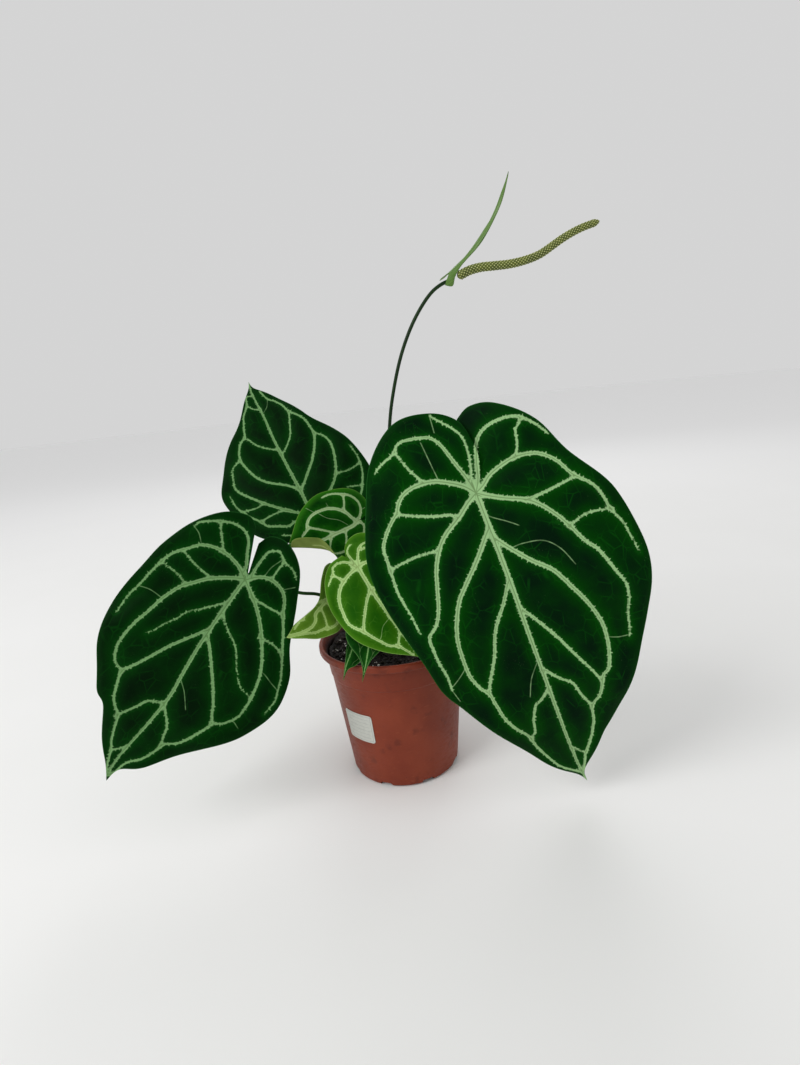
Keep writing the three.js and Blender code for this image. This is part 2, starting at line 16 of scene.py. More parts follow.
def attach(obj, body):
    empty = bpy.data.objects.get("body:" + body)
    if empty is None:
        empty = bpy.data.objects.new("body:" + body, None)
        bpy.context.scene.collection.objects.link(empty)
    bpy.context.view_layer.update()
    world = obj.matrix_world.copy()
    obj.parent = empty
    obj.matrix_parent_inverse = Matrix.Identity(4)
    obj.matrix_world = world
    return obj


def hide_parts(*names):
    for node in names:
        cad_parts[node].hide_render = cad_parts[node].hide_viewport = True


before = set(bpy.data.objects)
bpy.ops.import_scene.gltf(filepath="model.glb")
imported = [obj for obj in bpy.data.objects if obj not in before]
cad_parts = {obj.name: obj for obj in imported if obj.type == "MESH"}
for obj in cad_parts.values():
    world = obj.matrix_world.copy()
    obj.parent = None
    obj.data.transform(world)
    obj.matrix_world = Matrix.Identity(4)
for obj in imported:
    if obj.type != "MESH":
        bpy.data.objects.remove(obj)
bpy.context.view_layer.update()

MM = 0.001
GAP = 0.3
FAR = 1e6
RANDOM = np.random.default_rng(12)

# Camera: focal length over the picture's long side, place and turn, found from the
# pot's lip, sides and base
LONG_SIDE = 1065
FOCAL_PIXELS = 600
CAMERA_PLACE = (0, -452.2, 298.6)
CAMERA_YAW = -1.749
CAMERA_PITCH = -13.233
CAMERA_ROLL = -5.93

# Pot
POT_HEIGHT = 110
POT_BASE_RADIUS = 43.4
POT_NECK_RADIUS = 55
POT_LIP_RADIUS = 60
POT_LIP_HEIGHT = 6
POT_LIP_THICKNESS = 3
POT_WALL = 1.2
POT_FLOOR = 1.8
POT_STEP_HEIGHT = 86
POT_STEP_DEPTH = 0.7
POT_SEGMENTS = 192
DRAIN_COUNT = 8
DRAIN_WIDTH = 10
DRAIN_HEIGHT = 3.4
DRAIN_DEPTH = 9
DRAIN_TURN = 20

# Label, by azimuth and height on the pot's wall. LABEL_LIFTS is how far its inner and outer
# face lie off the wall
LABEL_LEFT = -149.5
LABEL_RIGHT = -118
LABEL_BOTTOM = 39.6
LABEL_TOP = 64
LABEL_LIFTS = (0.05, 0.35)
LABEL_CORNER = 2.2
LABEL_BORDER = 1.4
LABEL_RULE = 3.2
LABEL_COLUMNS = 60
LABEL_ROWS = 46

# Soil, with the least and greatest radius and flatness of its loose bits. The perlite in
# view lies round an azimuth at the front left
SOIL_LEVEL = 103
SOIL_ROUGHNESS = 1.5
SOIL_RINGS = 70
SOIL_SEGMENTS = 200
BARK_SIZE = (0.6, 2.3)
BARK_FLATNESS = (0.25, 0.6)
PERLITE_SIZE = (0.4, 0.95)
PERLITE_FLATNESS = (0.75, 1)
LOOSE_BITS = 1150
PERLITE = 110
PERLITE_IN_VIEW = 60
PERLITE_AZIMUTH = 195
PERLITE_SPREAD = 38

# Crown
CROWN_RADIUS = 8
CROWN_FOOT = 86
CROWN_TOP = 123
CROWN_SCARS = 5
CROWN_SEGMENTS = 72

# Blades
BLADE_THICKNESS = 0.8
MARGIN_THICKNESS = 0.45
MIDRIB_DEPTH = 1.5
LARGE_LEAF = 100
CROSS_STEPS = 14
LOBE_ROWS = 0.5
NOTCH_ROWS = 0.75
ROW_CROWDING = 1.1
LOBE_REACH = 10
WAVE_START = 0.35
PUCKER_HEIGHT = 0.55
GROOVE_DEPTH = 0.42

# Samples along a curve and round a corner, and the faces of stems
ROUNDING_STEPS = 4
CURVE_SAMPLES = 401
STEM_SAMPLES = 41
STALK_RINGS = 90
PEDUNCLE_RINGS = 160
STEM_SIDES = 20

# Floor's rings in millimetres. Lights by place, aim and size in metres and power in watts
FLOOR_RADII = (0.01, 300, 900, 3000, 12000)
FLOOR_SEGMENTS = 96
WORLD_LIGHT = 0.66
LIGHTS = {
    "key": ((-1.5, -1.05, 1.5), (0, 0, 0.2), 1.1, 26),
    "fill": ((1.5, -0.9, 0.9), (0, 0, 0.2), 1.2, 0.8),
    "rim": ((0.3, 1.5, 1.4), (0, 0, 0.25), 1.2, 5),
}

# Blades. sinus is where the stalk meets the blade. heading, pitch and roll turn its plane,
# and droop, fold and curl bend it along the midrib, at the midrib and across, in degrees.
# right and left are (u, v) points of the outline, from the tip to the lobe's inner end.
# notch bows the edge from there to the sinus, lift raises the lobes, and wave is the height
# of the margin's waves. turn folds one side over past a line. rows and columns are the
# faces of each half.
LEAVES = {
    "big": dict(
        sinus=(61, -85, 232), heading=-37, pitch=-71, roll=61,
        length=231, droop=26, fold=7, curl=-20,
        right=[(5, 220), (23, 200), (40, 168), (60, 135), (68.5, 118), (72, 90), (82, 50),
               (81, 18), (69, -15), (56, -40), (33, -58), (10, -57), (-5, -46), (-9, -28)],
        left=[(-2, 217), (-20, 191), (-35, 174), (-62, 133), (-75, 107), (-86, 68), (-79, 28),
              (-62, -3), (-50, -29), (-30, -48), (-15, -52.5), (-5, -48)],
        notch=(-3, -4), lift=(3, -2), wave=2.2, waves=5, rows=250, columns=70,
    ),
    "left": dict(
        sinus=(-95, -55, 185), heading=-158, pitch=-46, roll=-73,
        length=173, droop=17, fold=6, curl=-18,
        right=[(7, 161), (19, 146), (30, 123), (41, 115), (57, 87), (64, 60), (61, 30),
               (59, 10), (51, -11), (38, -29), (24, -36), (16, -33), (13, -27)],
        left=[(-3, 160), (-17, 147), (-40, 116), (-60, 94), (-68, 68), (-64, 43), (-50, 22),
              (-38, -4), (-26, -25), (-10, -35), (3, -33), (7.5, -24)],
        notch=(0, 0), lift=(1, -1), wave=1.8, waves=5, rows=210, columns=58,
    ),
    "back": dict(
        sinus=(-51, 22, 205), heading=125.5, pitch=53, roll=-31,
        length=158, droop=14, fold=6, curl=-16,
        right=[(2, 147), (14, 130), (29, 100), (34, 90), (46, 72), (55, 48), (59, 22),
               (53, 0), (37, -17), (20, -20), (7, -15)],
        left=[(-4, 147), (-20, 121), (-37, 98), (-52, 76), (-61, 55), (-58, 33), (-50, 12),
              (-36, -3), (-20, -11), (-6, -12)],
        notch=(-1, -1), lift=(1, -1), wave=1.6, waves=4, rows=190, columns=52,
    ),
    "middle": dict(
        sinus=(-17, -8, 207), heading=-143, pitch=-4, roll=-73,
        length=57, droop=20, fold=6, curl=-20,
        right=[(7, 52), (20, 41), (28, 25), (28, 9), (23, -6), (14, -13), (4, -11)],
        left=[(-10, 54), (-19, 42), (-23, 26), (-22, 6), (-15, -9), (-4, -11)],
        notch=(-0.6, -0.6), lift=(0.5, -0.5), wave=0.9, waves=3, rows=130, columns=46,
        turn=dict(side=-1, start=24, full=38, near=15, far=2, angle=150),
    ),
    "light": dict(
        sinus=(-20, -40, 181), heading=-46.5, pitch=-46.5, roll=41,
        length=79, droop=20, fold=6, curl=-20,
        right=[(6, 73), (20, 60), (31, 42), (34, 22), (31, 7), (25, -5), (16, -12), (5, -12)],
        left=[(-6, 73), (-20, 58), (-30, 41), (-33, 20), (-28, -5), (-17, -18), (-8, -21),
              (0, -18), (3.5, -11)],
        notch=(-0.5, -1), lift=(1.6, -1), wave=1, waves=3, rows=150, columns=46,
    ),
    "lime": dict(
        sinus=(-46, -32, 155), heading=-118, pitch=-7.5, roll=-51.5,
        length=49, droop=10, fold=14, curl=-12,
        right=[(1.5, 42), (3.5, 35), (4, 29), (2.6, 21), (2, 14), (4, 6), (9, -2),
               (16, -12), (20, -21), (19, -31), (12, -33), (5, -22)],
        left=[(-8, 42), (-17, 30), (-22, 17), (-20, 4), (-13, -10), (-4, -12)],
        notch=(0, 0), lift=(0, -1), wave=0.8, waves=3, rows=100, columns=32,
        turn=dict(side=1, start=0, full=16, near=1, far=0.8, angle=-70),
    ),
    "small_a": dict(
        sinus=(-28, -42, 126), heading=-111.5, pitch=-34, roll=-27,
        length=31, droop=30, fold=8, curl=-14,
        right=[(1.5, 24), (3, 15), (4.5, 9), (5, 2), (4.5, -5), (2, -7)],
        left=[(-1, 23), (-6, 18), (-10, 9), (-10, -1), (-7, -8), (-2, -8)],
        notch=(0, 0), lift=(0, 0), wave=0.4, waves=2, rows=70, columns=22,
    ),
    "small_b": dict(
        sinus=(-17, -53, 132), heading=-105, pitch=-36.5, roll=-18.5,
        length=33, droop=34, fold=8, curl=-14,
        right=[(1.3, 24), (5, 17), (14, 8), (17, -1), (12, -9), (3, -9)],
        left=[(-1.5, 24), (-4, 17), (-10, 8), (-13, -1), (-9, -9), (-2, -9)],
        notch=(0, 0), lift=(0, 0), wave=0.4, waves=2, rows=70, columns=24,
    ),
}

# Stalks: azimuth and height on the crown, points passed, radius
STALKS = {
    "big": (-48, 114, [(26, -24, 160), (48, -52, 212)], 2.1),
    "left": (-168, 109, [(-34, -11, 141), (-52, -22, 156.7), (-66, -33, 164)], 1.3),
    "back": (140, 112, [(-19, 13, 140), (-35, 17, 176)], 1.8),
    "middle": (180, 119, [(-13, 1, 150), (-15, 3, 185)], 1.6),
    "light": (-80, 116, [(-5, -14, 140), (-14, -24, 165)], 1.7),
    "lime": (-118, 113, [(-18, -16, 134)], 1.5),
    "small_a": (-142, 107, [(-14, -16, 116)], 1.3),
    "small_b": (-95, 107, [(-1, -24, 118), (-7, -42, 125)], 1.3),
}

# Flower, and the dry scales at the crown's back
PEDUNCLE_RADIUS = 1.25
PEDUNCLE_ROUTE = [
    (9, 5, 117), (9, 4, 129), (9, 1, 190), (12, 0, 255), (14, 0, 272), (18, 0, 292),
    (28, 0, 323.5), (40, 0, 347), (52.6, 0, 362.9), (60.2, 0, 368.2), (70, 0, 371.7),
]
SPADIX_ROUTE = [
    (73, 0, 372.6), (76, 0, 373.9), (82, 0, 376.1), (90, 0, 377.4), (100, 0, 377.5),
    (112, 0, 377.8), (124, 0, 379.6), (133, 0, 382.3), (142.6, 0, 387.4), (150, 0, 391.4),
    (162, 0, 396.4), (176, 0, 400),
]
SPADIX_RADIUS = 2.8
SPADIX_TIP_RADIUS = 2
FLORET_HEIGHT = 0.55
FLORETS_ROUND = 8
FLORET_ROWS = 44
SPATHE = dict(
    sinus=(67.6, 0, 375.9), heading=0, pitch=33, roll=30,
    length=74, droop=-46, fold=-18, curl=-160,
    right=[(1.1, 66), (2.3, 50), (2.8, 30), (2.4, 14), (3, 7), (5.5, 1), (9.5, -4), (6, -8)],
    left=[(-1.1, 66), (-2.3, 50), (-2.8, 30), (-2.4, 14), (-2.6, 7), (-3.4, 1), (-5, -4),
          (-3, -8)],
    notch=(0, 0), lift=(0, 0), wave=0.3, waves=3, rows=140, columns=16,
)
SPATHE_VEINS = [(1.3, 1.3, [(0, -4), (0, 30), (0, 70)])]
SCALE_AZIMUTHS = (60, 100)
SCALE_HEIGHT = 108
SCALE_LEAF = dict(
    length=24, droop=-14, fold=24, curl=16,
    right=[(1.2, 20), (3.2, 12), (3.7, 4), (3, -1)],
    left=[(-1.2, 20), (-3.2, 12), (-3.7, 4), (-3, -1)],
    notch=(0, 0), lift=(0, 0), wave=0.3, waves=2, rows=50, columns=14,
)
SCALE_VEINS = [(1.3, 1.3, [(0, -1), (0, 20)])]

# Veins of each blade: band width at the start and the end, then the (u, v) points passed.
# Bands under FINE_VEIN wide are thin lines. An end that stops within JOIN_REACH of another
# vein is run on to it, and WEB is how far the fillet reaches where veins part.
FINE_VEIN = 1.25
JOIN_REACH = 6
JOIN_AHEAD = 0.6
WEB = 0.9
VEIN_STEP = 0.4
VEIN_SPACING = 25
VEINS = {
    "big": [
        (3.9, 1.6, [(0, -2), (0, 60), (1, 100), (1.5, 135), (2, 170), (2, 195), (1.5, 215), (0, 230)]),
        (3.1, 1.4, [(2, 25), (15, 40), (27, 52), (35, 61), (42, 75), (45.5, 87), (47, 102), (47, 112),
                    (44, 122), (39.5, 129), (38, 139), (36, 150), (32, 160), (26, 171), (24, 182),
                    (20, 194), (15, 205), (9, 212), (3, 218)]),
        (2.2, 1.8, [(2, 61), (9, 72), (20, 87), (27, 104), (34, 117), (39, 127)]),
        (2, 1.5, [(4, 142), (10, 147), (14, 149), (19, 160), (21, 169), (25, 174)]),
        (3.3, 1.4, [(0, 0), (7, 4), (15, 10), (25, 16), (32, 22), (37, 29), (41, 37), (45, 49),
                    (49, 61), (54, 70), (61, 76), (62, 85), (62, 95), (61, 107), (62, 119)]),
        (1.6, 1.6, [(37, 25), (50, 24), (60, 25), (67, 26)]),
        (3.2, 1.3, [(0, 0), (5, -6), (12, -11), (22, -16), (32, -17.5), (41, -16), (47, -12),
                    (51, -6), (56, -2), (62, 4), (67, 12), (68, 22), (70, 40), (69, 50), (67, 62),
                    (66, 72)]),
        (1.8, 1.6, [(20, 7), (30, 4), (40, 0), (50, -5)]),
        (2.6, 1.2, [(0, 0), (2, -10), (6, -22), (10, -35), (15, -42), (25, -45), (34, -45.5),
                    (39, -41), (50, -37), (55, -34)]),
        (1.6, 1.3, [(29, -19), (34, -29), (37.5, -40)]),
        (1.1, 0.9, [(19, -15), (20, -27), (21, -40)]),
        (1.5, 1.1, [(-1, -12), (-4, -25), (-4, -35), (0, -43), (10, -55)]),
        (1.2, 0.9, [(10, -55), (11, -45)]),
        (3.1, 1.4, [(-1, 31), (-7.5, 40), (-17.5, 52), (-27.5, 62), (-35, 77), (-41, 91),
                    (-44.5, 105), (-44.5, 116), (-42.5, 127), (-39, 137), (-34, 142), (-29, 155),
                    (-21, 164), (-19, 175), (-14, 187), (-6, 202), (-1, 217)]),
        (2.1, 1.6, [(-1, 81), (-7.5, 91), (-16, 107), (-22.5, 122), (-29, 136), (-32, 144)]),
        (2, 1.5, [(-1, 127), (-7.5, 135), (-14, 141), (-17, 152), (-20.5, 162)]),
        (1.3, 1, [(0, 195), (-4, 200)]),
        (3.2, 1.2, [(0, 0), (-6, 4), (-15, 9), (-29, 16), (-39, 27), (-46, 39), (-51, 50),
                    (-57.5, 60), (-62.5, 75), (-66, 85), (-65.5, 95), (-62.5, 105), (-60, 117),
                    (-58, 122)]),
        (1.2, 0.8, [(-44, 116), (-51, 119), (-59, 121)]),
        (3.1, 1, [(0, 0), (-6, -3), (-12, -7.5), (-22.5, -11), (-32.5, -12), (-44, -9),
                  (-52.5, -1), (-58, 10), (-66, 19), (-70, 27), (-73, 39), (-77.5, 50), (-79, 60),
                  (-80, 70)]),
        (1.8, 1.5, [(-27.5, 15), (-42.5, 14), (-57.5, 12)]),
        (1.5, 1.2, [(-46, 39), (-60, 36), (-74, 39)]),
        (2.8, 1.3, [(0, 0), (-4, -7.5), (-7.5, -20), (-11, -29), (-17.5, -35), (-27.5, -37),
                    (-39, -35), (-47.5, -27.5), (-54, -18)]),
        (1.6, 1.3, [(-40, -31), (-36, -27), (-34, -19), (-30, -12)]),
        (1, 0.5, [(-1, 15), (-5, 18.5), (-11.5, 23), (-17, 27.5)]),
        (0.9, 0.4, [(-8, 40), (-16, 39.5), (-28, 42), (-36, 50), (-41, 62)]),
        (1, 0.5, [(62, 119), (60, 127)]),
        (0.9, 0.4, [(47, 105), (54, 111), (62, 117)]),
        (0.8, 0.4, [(2, 118), (10, 128), (15, 140)]),
    ],
    "left": [
        (3, 1.4, [(1, 1), (1, 19), (1, 37), (0.5, 57), (-1, 77), (-2.5, 91), (-2.5, 101), (-1.5, 115),
                  (0, 129), (1.5, 141), (2.5, 153), (2, 168)]),
        (2.1, 1.3, [(2.5, 44), (10, 55), (17, 66), (23, 78), (28, 88), (33, 97), (31, 105), (27, 115),
                    (19, 124), (16, 134), (13, 143), (9.5, 150), (5, 163)]),
        (1.5, 2.6, [(33, 97), (40, 94), (44, 86), (45, 77), (44, 65), (41, 53), (38, 40), (33, 28),
                    (29, 23), (20, 13), (10, 6), (3, 2)]),
        (1.7, 1.5, [(0, 102), (8, 106), (12, 113), (19, 124)]),
        (1.3, 0.6, [(5, 24), (14, 34), (20, 40), (23, 47), (28, 55), (31, 62), (34, 65.6)]),
        (2.6, 1, [(3, 0), (10, -4), (20, -6.4), (30, -5.6), (38, -2), (44, 5), (50, 13), (52.4, 21),
                  (54, 31), (55.6, 41), (58, 53), (57.6, 65)]),
        (1.3, 1.1, [(20, 12.4), (32, 11), (43, 8)]),
        (1.3, 1.1, [(31, 25), (40, 22), (52, 21)]),
        (1.2, 1, [(39, 41), (48, 40.6), (55.6, 42.6)]),
        (2, 1.2, [(5, -6), (10, -15), (14, -22), (20, -26), (28, -26), (36, -22.4), (46, -15)]),
        (1.4, 1.2, [(36, -22), (32, -17), (26, -10), (23, -6)]),
        (1.2, 0.8, [(38, -3), (43, -8), (48, -10)]),
        (2.1, 1.3, [(-0.6, 47), (-8, 55), (-20, 70), (-28, 81), (-33, 90), (-36, 97), (-33, 105),
                    (-26, 120), (-18, 127), (-15, 136), (-11, 144), (-4, 153), (-1, 165)]),
        (1.4, 2.6, [(-36, 96), (-44, 91), (-49, 83), (-49.4, 73), (-48, 63), (-45, 51), (-40, 41),
                    (-33, 31), (-25, 21), (-14, 11), (-2, 3)]),
        (1.6, 1.4, [(-2.4, 102), (-9, 109), (-13, 115), (-15, 123), (-16.4, 128)]),
        (1.4, 0.7, [(-1, 29), (-6, 34), (-16, 40), (-22, 45), (-30, 56), (-38, 64), (-47, 67)]),
        (1.1, 0.6, [(-2, 81), (-9, 87), (-16, 96)]),
        (2.6, 0.9, [(-1, 0), (-6, -5), (-13, -8), (-22, -7), (-29, -2), (-34, 7), (-41, 17),
                    (-49, 30), (-57, 43), (-61, 53), (-63.4, 61), (-63, 72)]),
        (1.2, 1, [(-47, 48), (-54, 50.6), (-60, 52.6)]),
        (1.3, 1.2, [(-30, 28.6), (-40, 28), (-49, 31)]),
        (1.4, 1.3, [(-10, 9), (-24, 8.4), (-34, 7.6)]),
        (2, 1, [(-1, -7), (-1, -17), (-2, -23), (-8, -27), (-15, -23), (-22, -22), (-28, -18)]),
        (1.3, 1.1, [(-14, -8), (-14, -15), (-14.4, -23)]),
        (1.2, 1, [(-9, -8), (-9.4, -15), (-12, -22)]),
        (1.2, 0.8, [(-25, -7), (-30, -12)]),
        (0.9, 0.5, [(-49, 88), (-53, 90)]),
        (1.3, 1, [(3, 143), (9, 150)]),
    ],
    "back": [
        (2.8, 1.3, [(0, 0), (-1.4, 19), (-1.4, 30), (-2, 50), (-2.4, 70), (-2.4, 90), (-1.6, 110),
                    (-2, 130), (-2, 144), (-0.4, 157)]),
        (2, 1.3, [(-3, 32), (-10, 39), (-22, 48), (-29, 57), (-33, 68), (-35, 78), (-33, 86),
                  (-29, 94), (-24, 99), (-21, 110), (-17, 121), (-11, 129), (-8, 139)]),
        (1.5, 1.3, [(-3, 73), (-10, 78), (-17, 85), (-21, 93), (-24, 98)]),
        (1.3, 1, [(-1.4, 121), (-6, 123), (-10, 128)]),
        (2.3, 1.4, [(0, 5), (-12, 13), (-20, 20), (-31, 31), (-40, 42), (-47, 52), (-48.6, 59),
                    (-47, 66), (-44, 74), (-36, 78)]),
        (2.2, 1, [(0, 0), (-15, 6), (-22, 5), (-30, 9), (-37, 13), (-40, 18), (-47, 27), (-53, 38),
                  (-55, 52)]),
        (1.3, 1.2, [(-39, 19), (-24, 19.4), (-16, 17)]),
        (1.3, 1.2, [(-32, 32), (-41, 31), (-49, 33)]),
        (2.1, 1.3, [(0, 30), (8, 38), (18, 49), (25, 60), (30, 72), (30, 80), (28, 91), (20, 104),
                    (17, 115), (13, 123), (8, 129), (5, 141)]),
        (1.5, 2.3, [(31, 73), (36, 68), (38.6, 60), (38, 50), (34, 36), (30, 28), (23, 20), (0, 2)]),
        (1.4, 1.3, [(0, 69), (6, 74), (12, 82), (17, 95), (19.6, 103)]),
        (1.2, 1, [(0, 116), (5, 120), (8, 128)]),
        (2.2, 1, [(0, 0), (12, -4), (25, -6), (35, -2), (42, 4), (48, 14), (52, 24), (53.4, 36),
                  (51.6, 48)]),
        (1.3, 1.2, [(33, 28), (42, 27), (51, 29)]),
        (1.3, 1.2, [(34, 14), (42, 11)]),
        (1.6, 1, [(0, 0), (2, -6), (8, -12), (20, -14), (32, -12)]),
        (1.6, 1, [(0, 0), (-2, -5), (-10, -7), (-20, -5), (-30, 0)]),
    ],
    "middle": [
        (2.9, 1.8, [(0, 0), (-2.5, 6), (-3.5, 16), (-4, 24), (-5, 33), (-4, 45), (0, 55)]),
        (2.5, 1.7, [(0, 2), (4, 5), (9, 8.5), (13, 14), (15.5, 21), (15.5, 30), (13.5, 36), (10, 39.5),
                    (6, 41), (2.5, 46)]),
        (1.4, 1.2, [(7, 40), (4, 34), (0, 27), (-2.5, 23)]),
        (2.1, 1.2, [(0, 0), (6, -4.5), (12, -5.5), (17, -3), (21, 2), (22, 5), (24.5, 10),
                    (25.5, 16), (24.5, 22)]),
        (1.5, 1.3, [(11, 9), (16, 6.5), (21.5, 5)]),
        (0.9, 0.5, [(19, 20.5), (15.5, 20)]),
        (1.1, 0.8, [(20, 36), (16, 32)]),
        (0.8, 0.5, [(7, -6), (7.5, -8.5)]),
        (0.9, 0.5, [(0, 10.5), (5, 16), (9, 24), (14, 29)]),
        (1.6, 1.1, [(-4.5, 13.5), (-10, 15), (-13, 17)]),
        (1.4, 0.9, [(-5, 26), (-10, 28.5), (-16, 31)]),
        (2, 1.1, [(0, 0), (-5, -3), (-11, 0), (-16, 8), (-18, 18), (-17, 30), (-12, 42)]),
    ],
    "light": [
        (3, 1.4, [(0.6, -1), (1.2, 12.5), (2, 22.5), (2, 35), (2, 47.5), (1.5, 60), (1, 72), (0, 77)]),
        (2.6, 1.4, [(1, 1), (7.5, 2), (14, 4), (20, 7.5), (25, 14), (27.5, 22.5), (28.5, 30),
                    (26, 36), (23, 40.6), (20, 47.5), (17.5, 52.5), (14, 59), (9, 63), (6, 69),
                    (4, 74)]),
        (1.9, 1.7, [(4, 21), (10, 26), (16, 32.5), (19, 36), (22, 40)]),
        (1.2, 0.9, [(4, 44), (10, 46), (15, 51), (17.5, 52)]),
        (1.4, 1.3, [(3, 56), (5.6, 59), (9, 63)]),
        (1.9, 1, [(2.5, -1), (5, -6), (10, -9), (15, -9), (18, -5), (25, 0)]),
        (1.8, 1.3, [(14, 4), (16, 0), (18, -4)]),
        (2.2, 1.2, [(-1, 0), (-5, -7), (-10, -11), (-17, -10)]),
        (1.9, 1, [(1, -4), (1, -12.5), (-2.5, -16), (-5, -16)]),
        (2.6, 1.4, [(-1, 1), (-7.5, 2), (-14, 4), (-20, 9), (-24, 18), (-26, 30), (-23, 41),
                    (-17, 53), (-9, 63), (-4, 74)]),
        (1.8, 1.5, [(-1, 21), (-10, 27), (-19, 37), (-23, 41)]),
        (1.4, 1.1, [(0, 44), (-8, 47), (-16, 54)]),
        (1.6, 1.1, [(-10, -8), (-20, -4), (-27, 8)]),
    ],
    "lime": [
        (2.6, 1.6, [(0, 1), (-1, 10), (-2, 18), (-5.5, 23), (-6.7, 30), (-4, 40), (0, 47)]),
        (1.6, 1.2, [(-4, 12), (-9, 15.5), (-13, 19), (-15.5, 22)]),
        (2.2, 1.4, [(-2, 2), (-9, 4), (-17, 10), (-17, 18), (-14, 23), (-11, 31), (-5.5, 40),
                    (-1, 47)]),
        (1.4, 1.2, [(1, 29), (2, 32), (0.5, 40)]),
        (1.8, 1.2, [(0, 0), (5, -8), (12, -16), (16, -24), (14, -30)]),
        (1.5, 1.2, [(0, 0), (3, 8), (2.4, 18), (2.6, 27)]),
        (1.4, 1, [(0, 0), (-3, -6), (-9, -7)]),
    ],
    "small_a": [
        (1.3, 0.3, [(0, 0), (0.5, 12), (1, 20), (0.5, 27)]),
        (0.9, 0.5, [(0, 3), (-3.5, 8), (-6, 13), (-3.5, 17), (-3, 19)]),
        (0.9, 0.5, [(0, 1), (-5, 0), (-8, 5), (-7, 13)]),
        (0.9, 0.5, [(0, 2), (3, 6), (3, 14), (1.5, 22)]),
    ],
    "small_b": [
        (1.4, 0.3, [(0, 0), (-0.5, 8), (-0.5, 20), (0, 28)]),
        (1, 0.6, [(0, 0), (6, -3), (11, -1), (9, 4), (6, 9), (4.5, 15), (1, 22)]),
        (1, 0.6, [(0, 0), (-5, -3), (-8, 0), (-7, 7), (-4, 14), (-1.5, 22)]),
        (0.8, 0.5, [(0, 5), (4, 9), (5, 13)]),
        (0.8, 0.5, [(0, 6), (-3, 10), (-4, 13)]),
    ],
}

# Tones that each kind of leaf shows, 0 to 255: lamina between the veins and
# beside them, fringe of a vein, band along the margin, vein and its middle line, margin, and
# underside with its veins
LEAF_LOOKS = {
    "velvet": dict(
        dark=(0, 24, 6), bright=(0, 50, 1), halo=(12, 88, 10), rim=(2, 46, 4),
        vein=(146, 184, 128), line=(96, 124, 76), edge=(24, 78, 26), under=(62, 100, 60),
        under_vein=(124, 156, 104),
    ),
    # shaded is the velvet look with painted shade, darker lamina and dimmer veins, for the left and
    # back leaves
    "shaded": dict(
        dark=(0, 20, 2), bright=(0, 42, 2), halo=(10, 74, 12), rim=(2, 40, 4), vein=(112, 152, 98),
        line=(80, 114, 64), edge=(24, 72, 26), under=(62, 100, 60), under_vein=(124, 156, 104),
    ),
    "small": dict(
        dark=(3, 42, 4), bright=(20, 74, 14), halo=(30, 92, 26), rim=(18, 70, 16),
        vein=(118, 160, 94), line=(100, 142, 78), edge=(88, 132, 68), under=(70, 110, 62),
        under_vein=(110, 146, 90),
    ),
    "young": dict(
        dark=(2, 48, 4), bright=(18, 82, 6), halo=(42, 114, 26), rim=(44, 108, 18),
        vein=(162, 196, 140), line=(132, 150, 92), edge=(96, 142, 52), under=(132, 150, 76),
        under_vein=(156, 172, 102),
    ),
    "bright": dict(
        dark=(24, 78, 2), bright=(46, 98, 8), halo=(84, 138, 40), rim=(66, 116, 20),
        vein=(168, 202, 130), line=(124, 146, 80), edge=(118, 156, 74), under=(96, 130, 62),
        under_vein=(150, 178, 110),
    ),
    "lime": dict(
        dark=(48, 90, 10), bright=(80, 118, 28), halo=(110, 146, 56), rim=(92, 130, 38),
        vein=(156, 186, 108), line=(128, 156, 80), edge=(130, 160, 84), under=(92, 128, 48),
        under_vein=(136, 162, 88),
    ),
}
RIM_WIDTH = {"velvet": 5, "shaded": 5, "small": 5, "young": 10, "bright": 7, "lime": 7}

# Kind of each leaf, size of its vein pattern and its material slot
LEAF_KIND = {
    "big": ("velvet", 1, "velvet_leaf"), "left": ("shaded", 1, "velvet_leaf"),
    "back": ("shaded", 1, "velvet_leaf"), "middle": ("young", 0.6, "velvet_leaf"),
    "light": ("bright", 0.7, "bright_leaf"), "lime": ("lime", 0.7, "lime_leaf"),
    "small_a": ("small", 0.35, "velvet_leaf"), "small_b": ("small", 0.35, "velvet_leaf"),
}


def srgb(red, green, blue):
    """A colour given 0 to 255, as Blender's linear one."""
    channels = (channel / 255 for channel in (red, green, blue))
    return (*(c / 12.92 if c <= 0.04045 else ((c + 0.055) / 1.055) ** 2.4 for c in channels), 1)


def smooth(start, end, value):
    """0 before start, 1 past end, and a smooth rise between them."""
    share = np.clip((value - start) / (end - start), 0, 1)
    return share * share * (3 - 2 * share)


def add_object(name, data):
    """A new object in the scene."""
    made = bpy.data.objects.new(name, data)
    bpy.context.scene.collection.objects.link(made)
    return made


def make_piece(name, points, faces, material, nodes, fields=None, weld=0.0, sharp=60):
    """A visible piece from points in millimetres, in the place of CAD nodes."""
    mesh = bpy.data.meshes.new(name)
    mesh.from_pydata((np.asarray(points) * MM).tolist(), [], [list(map(int, f)) for f in faces])
    for key, values in (fields or {}).items():
        values = np.asarray(values, np.float32)
        kind = "FLOAT_VECTOR" if values.ndim == 2 else "FLOAT"
        field = mesh.attributes.new(key, kind, "POINT")
        field.data.foreach_set("vector" if values.ndim == 2 else "value", values.ravel())
    if weld:
        shape = bmesh.new()
        shape.from_mesh(mesh)
        bmesh.ops.remove_doubles(shape, verts=shape.verts, dist=weld * MM)
        bmesh.ops.dissolve_degenerate(shape, edges=shape.edges, dist=weld * MM * 0.5)
        shape.to_mesh(mesh)
        shape.free()
    mesh.validate()
    mesh.shade_smooth()
    mesh.set_sharp_from_angle(angle=math.radians(sharp))
    mesh.materials.append(material)
    piece = add_object(name, mesh)
    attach(piece, "root")
    if nodes:
        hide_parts(*nodes)
    return piece


def plane_field(across, along):
    """Two values for each point, as a vector field."""
    return np.stack([across, along, np.zeros_like(across)], -1).reshape(-1, 3)


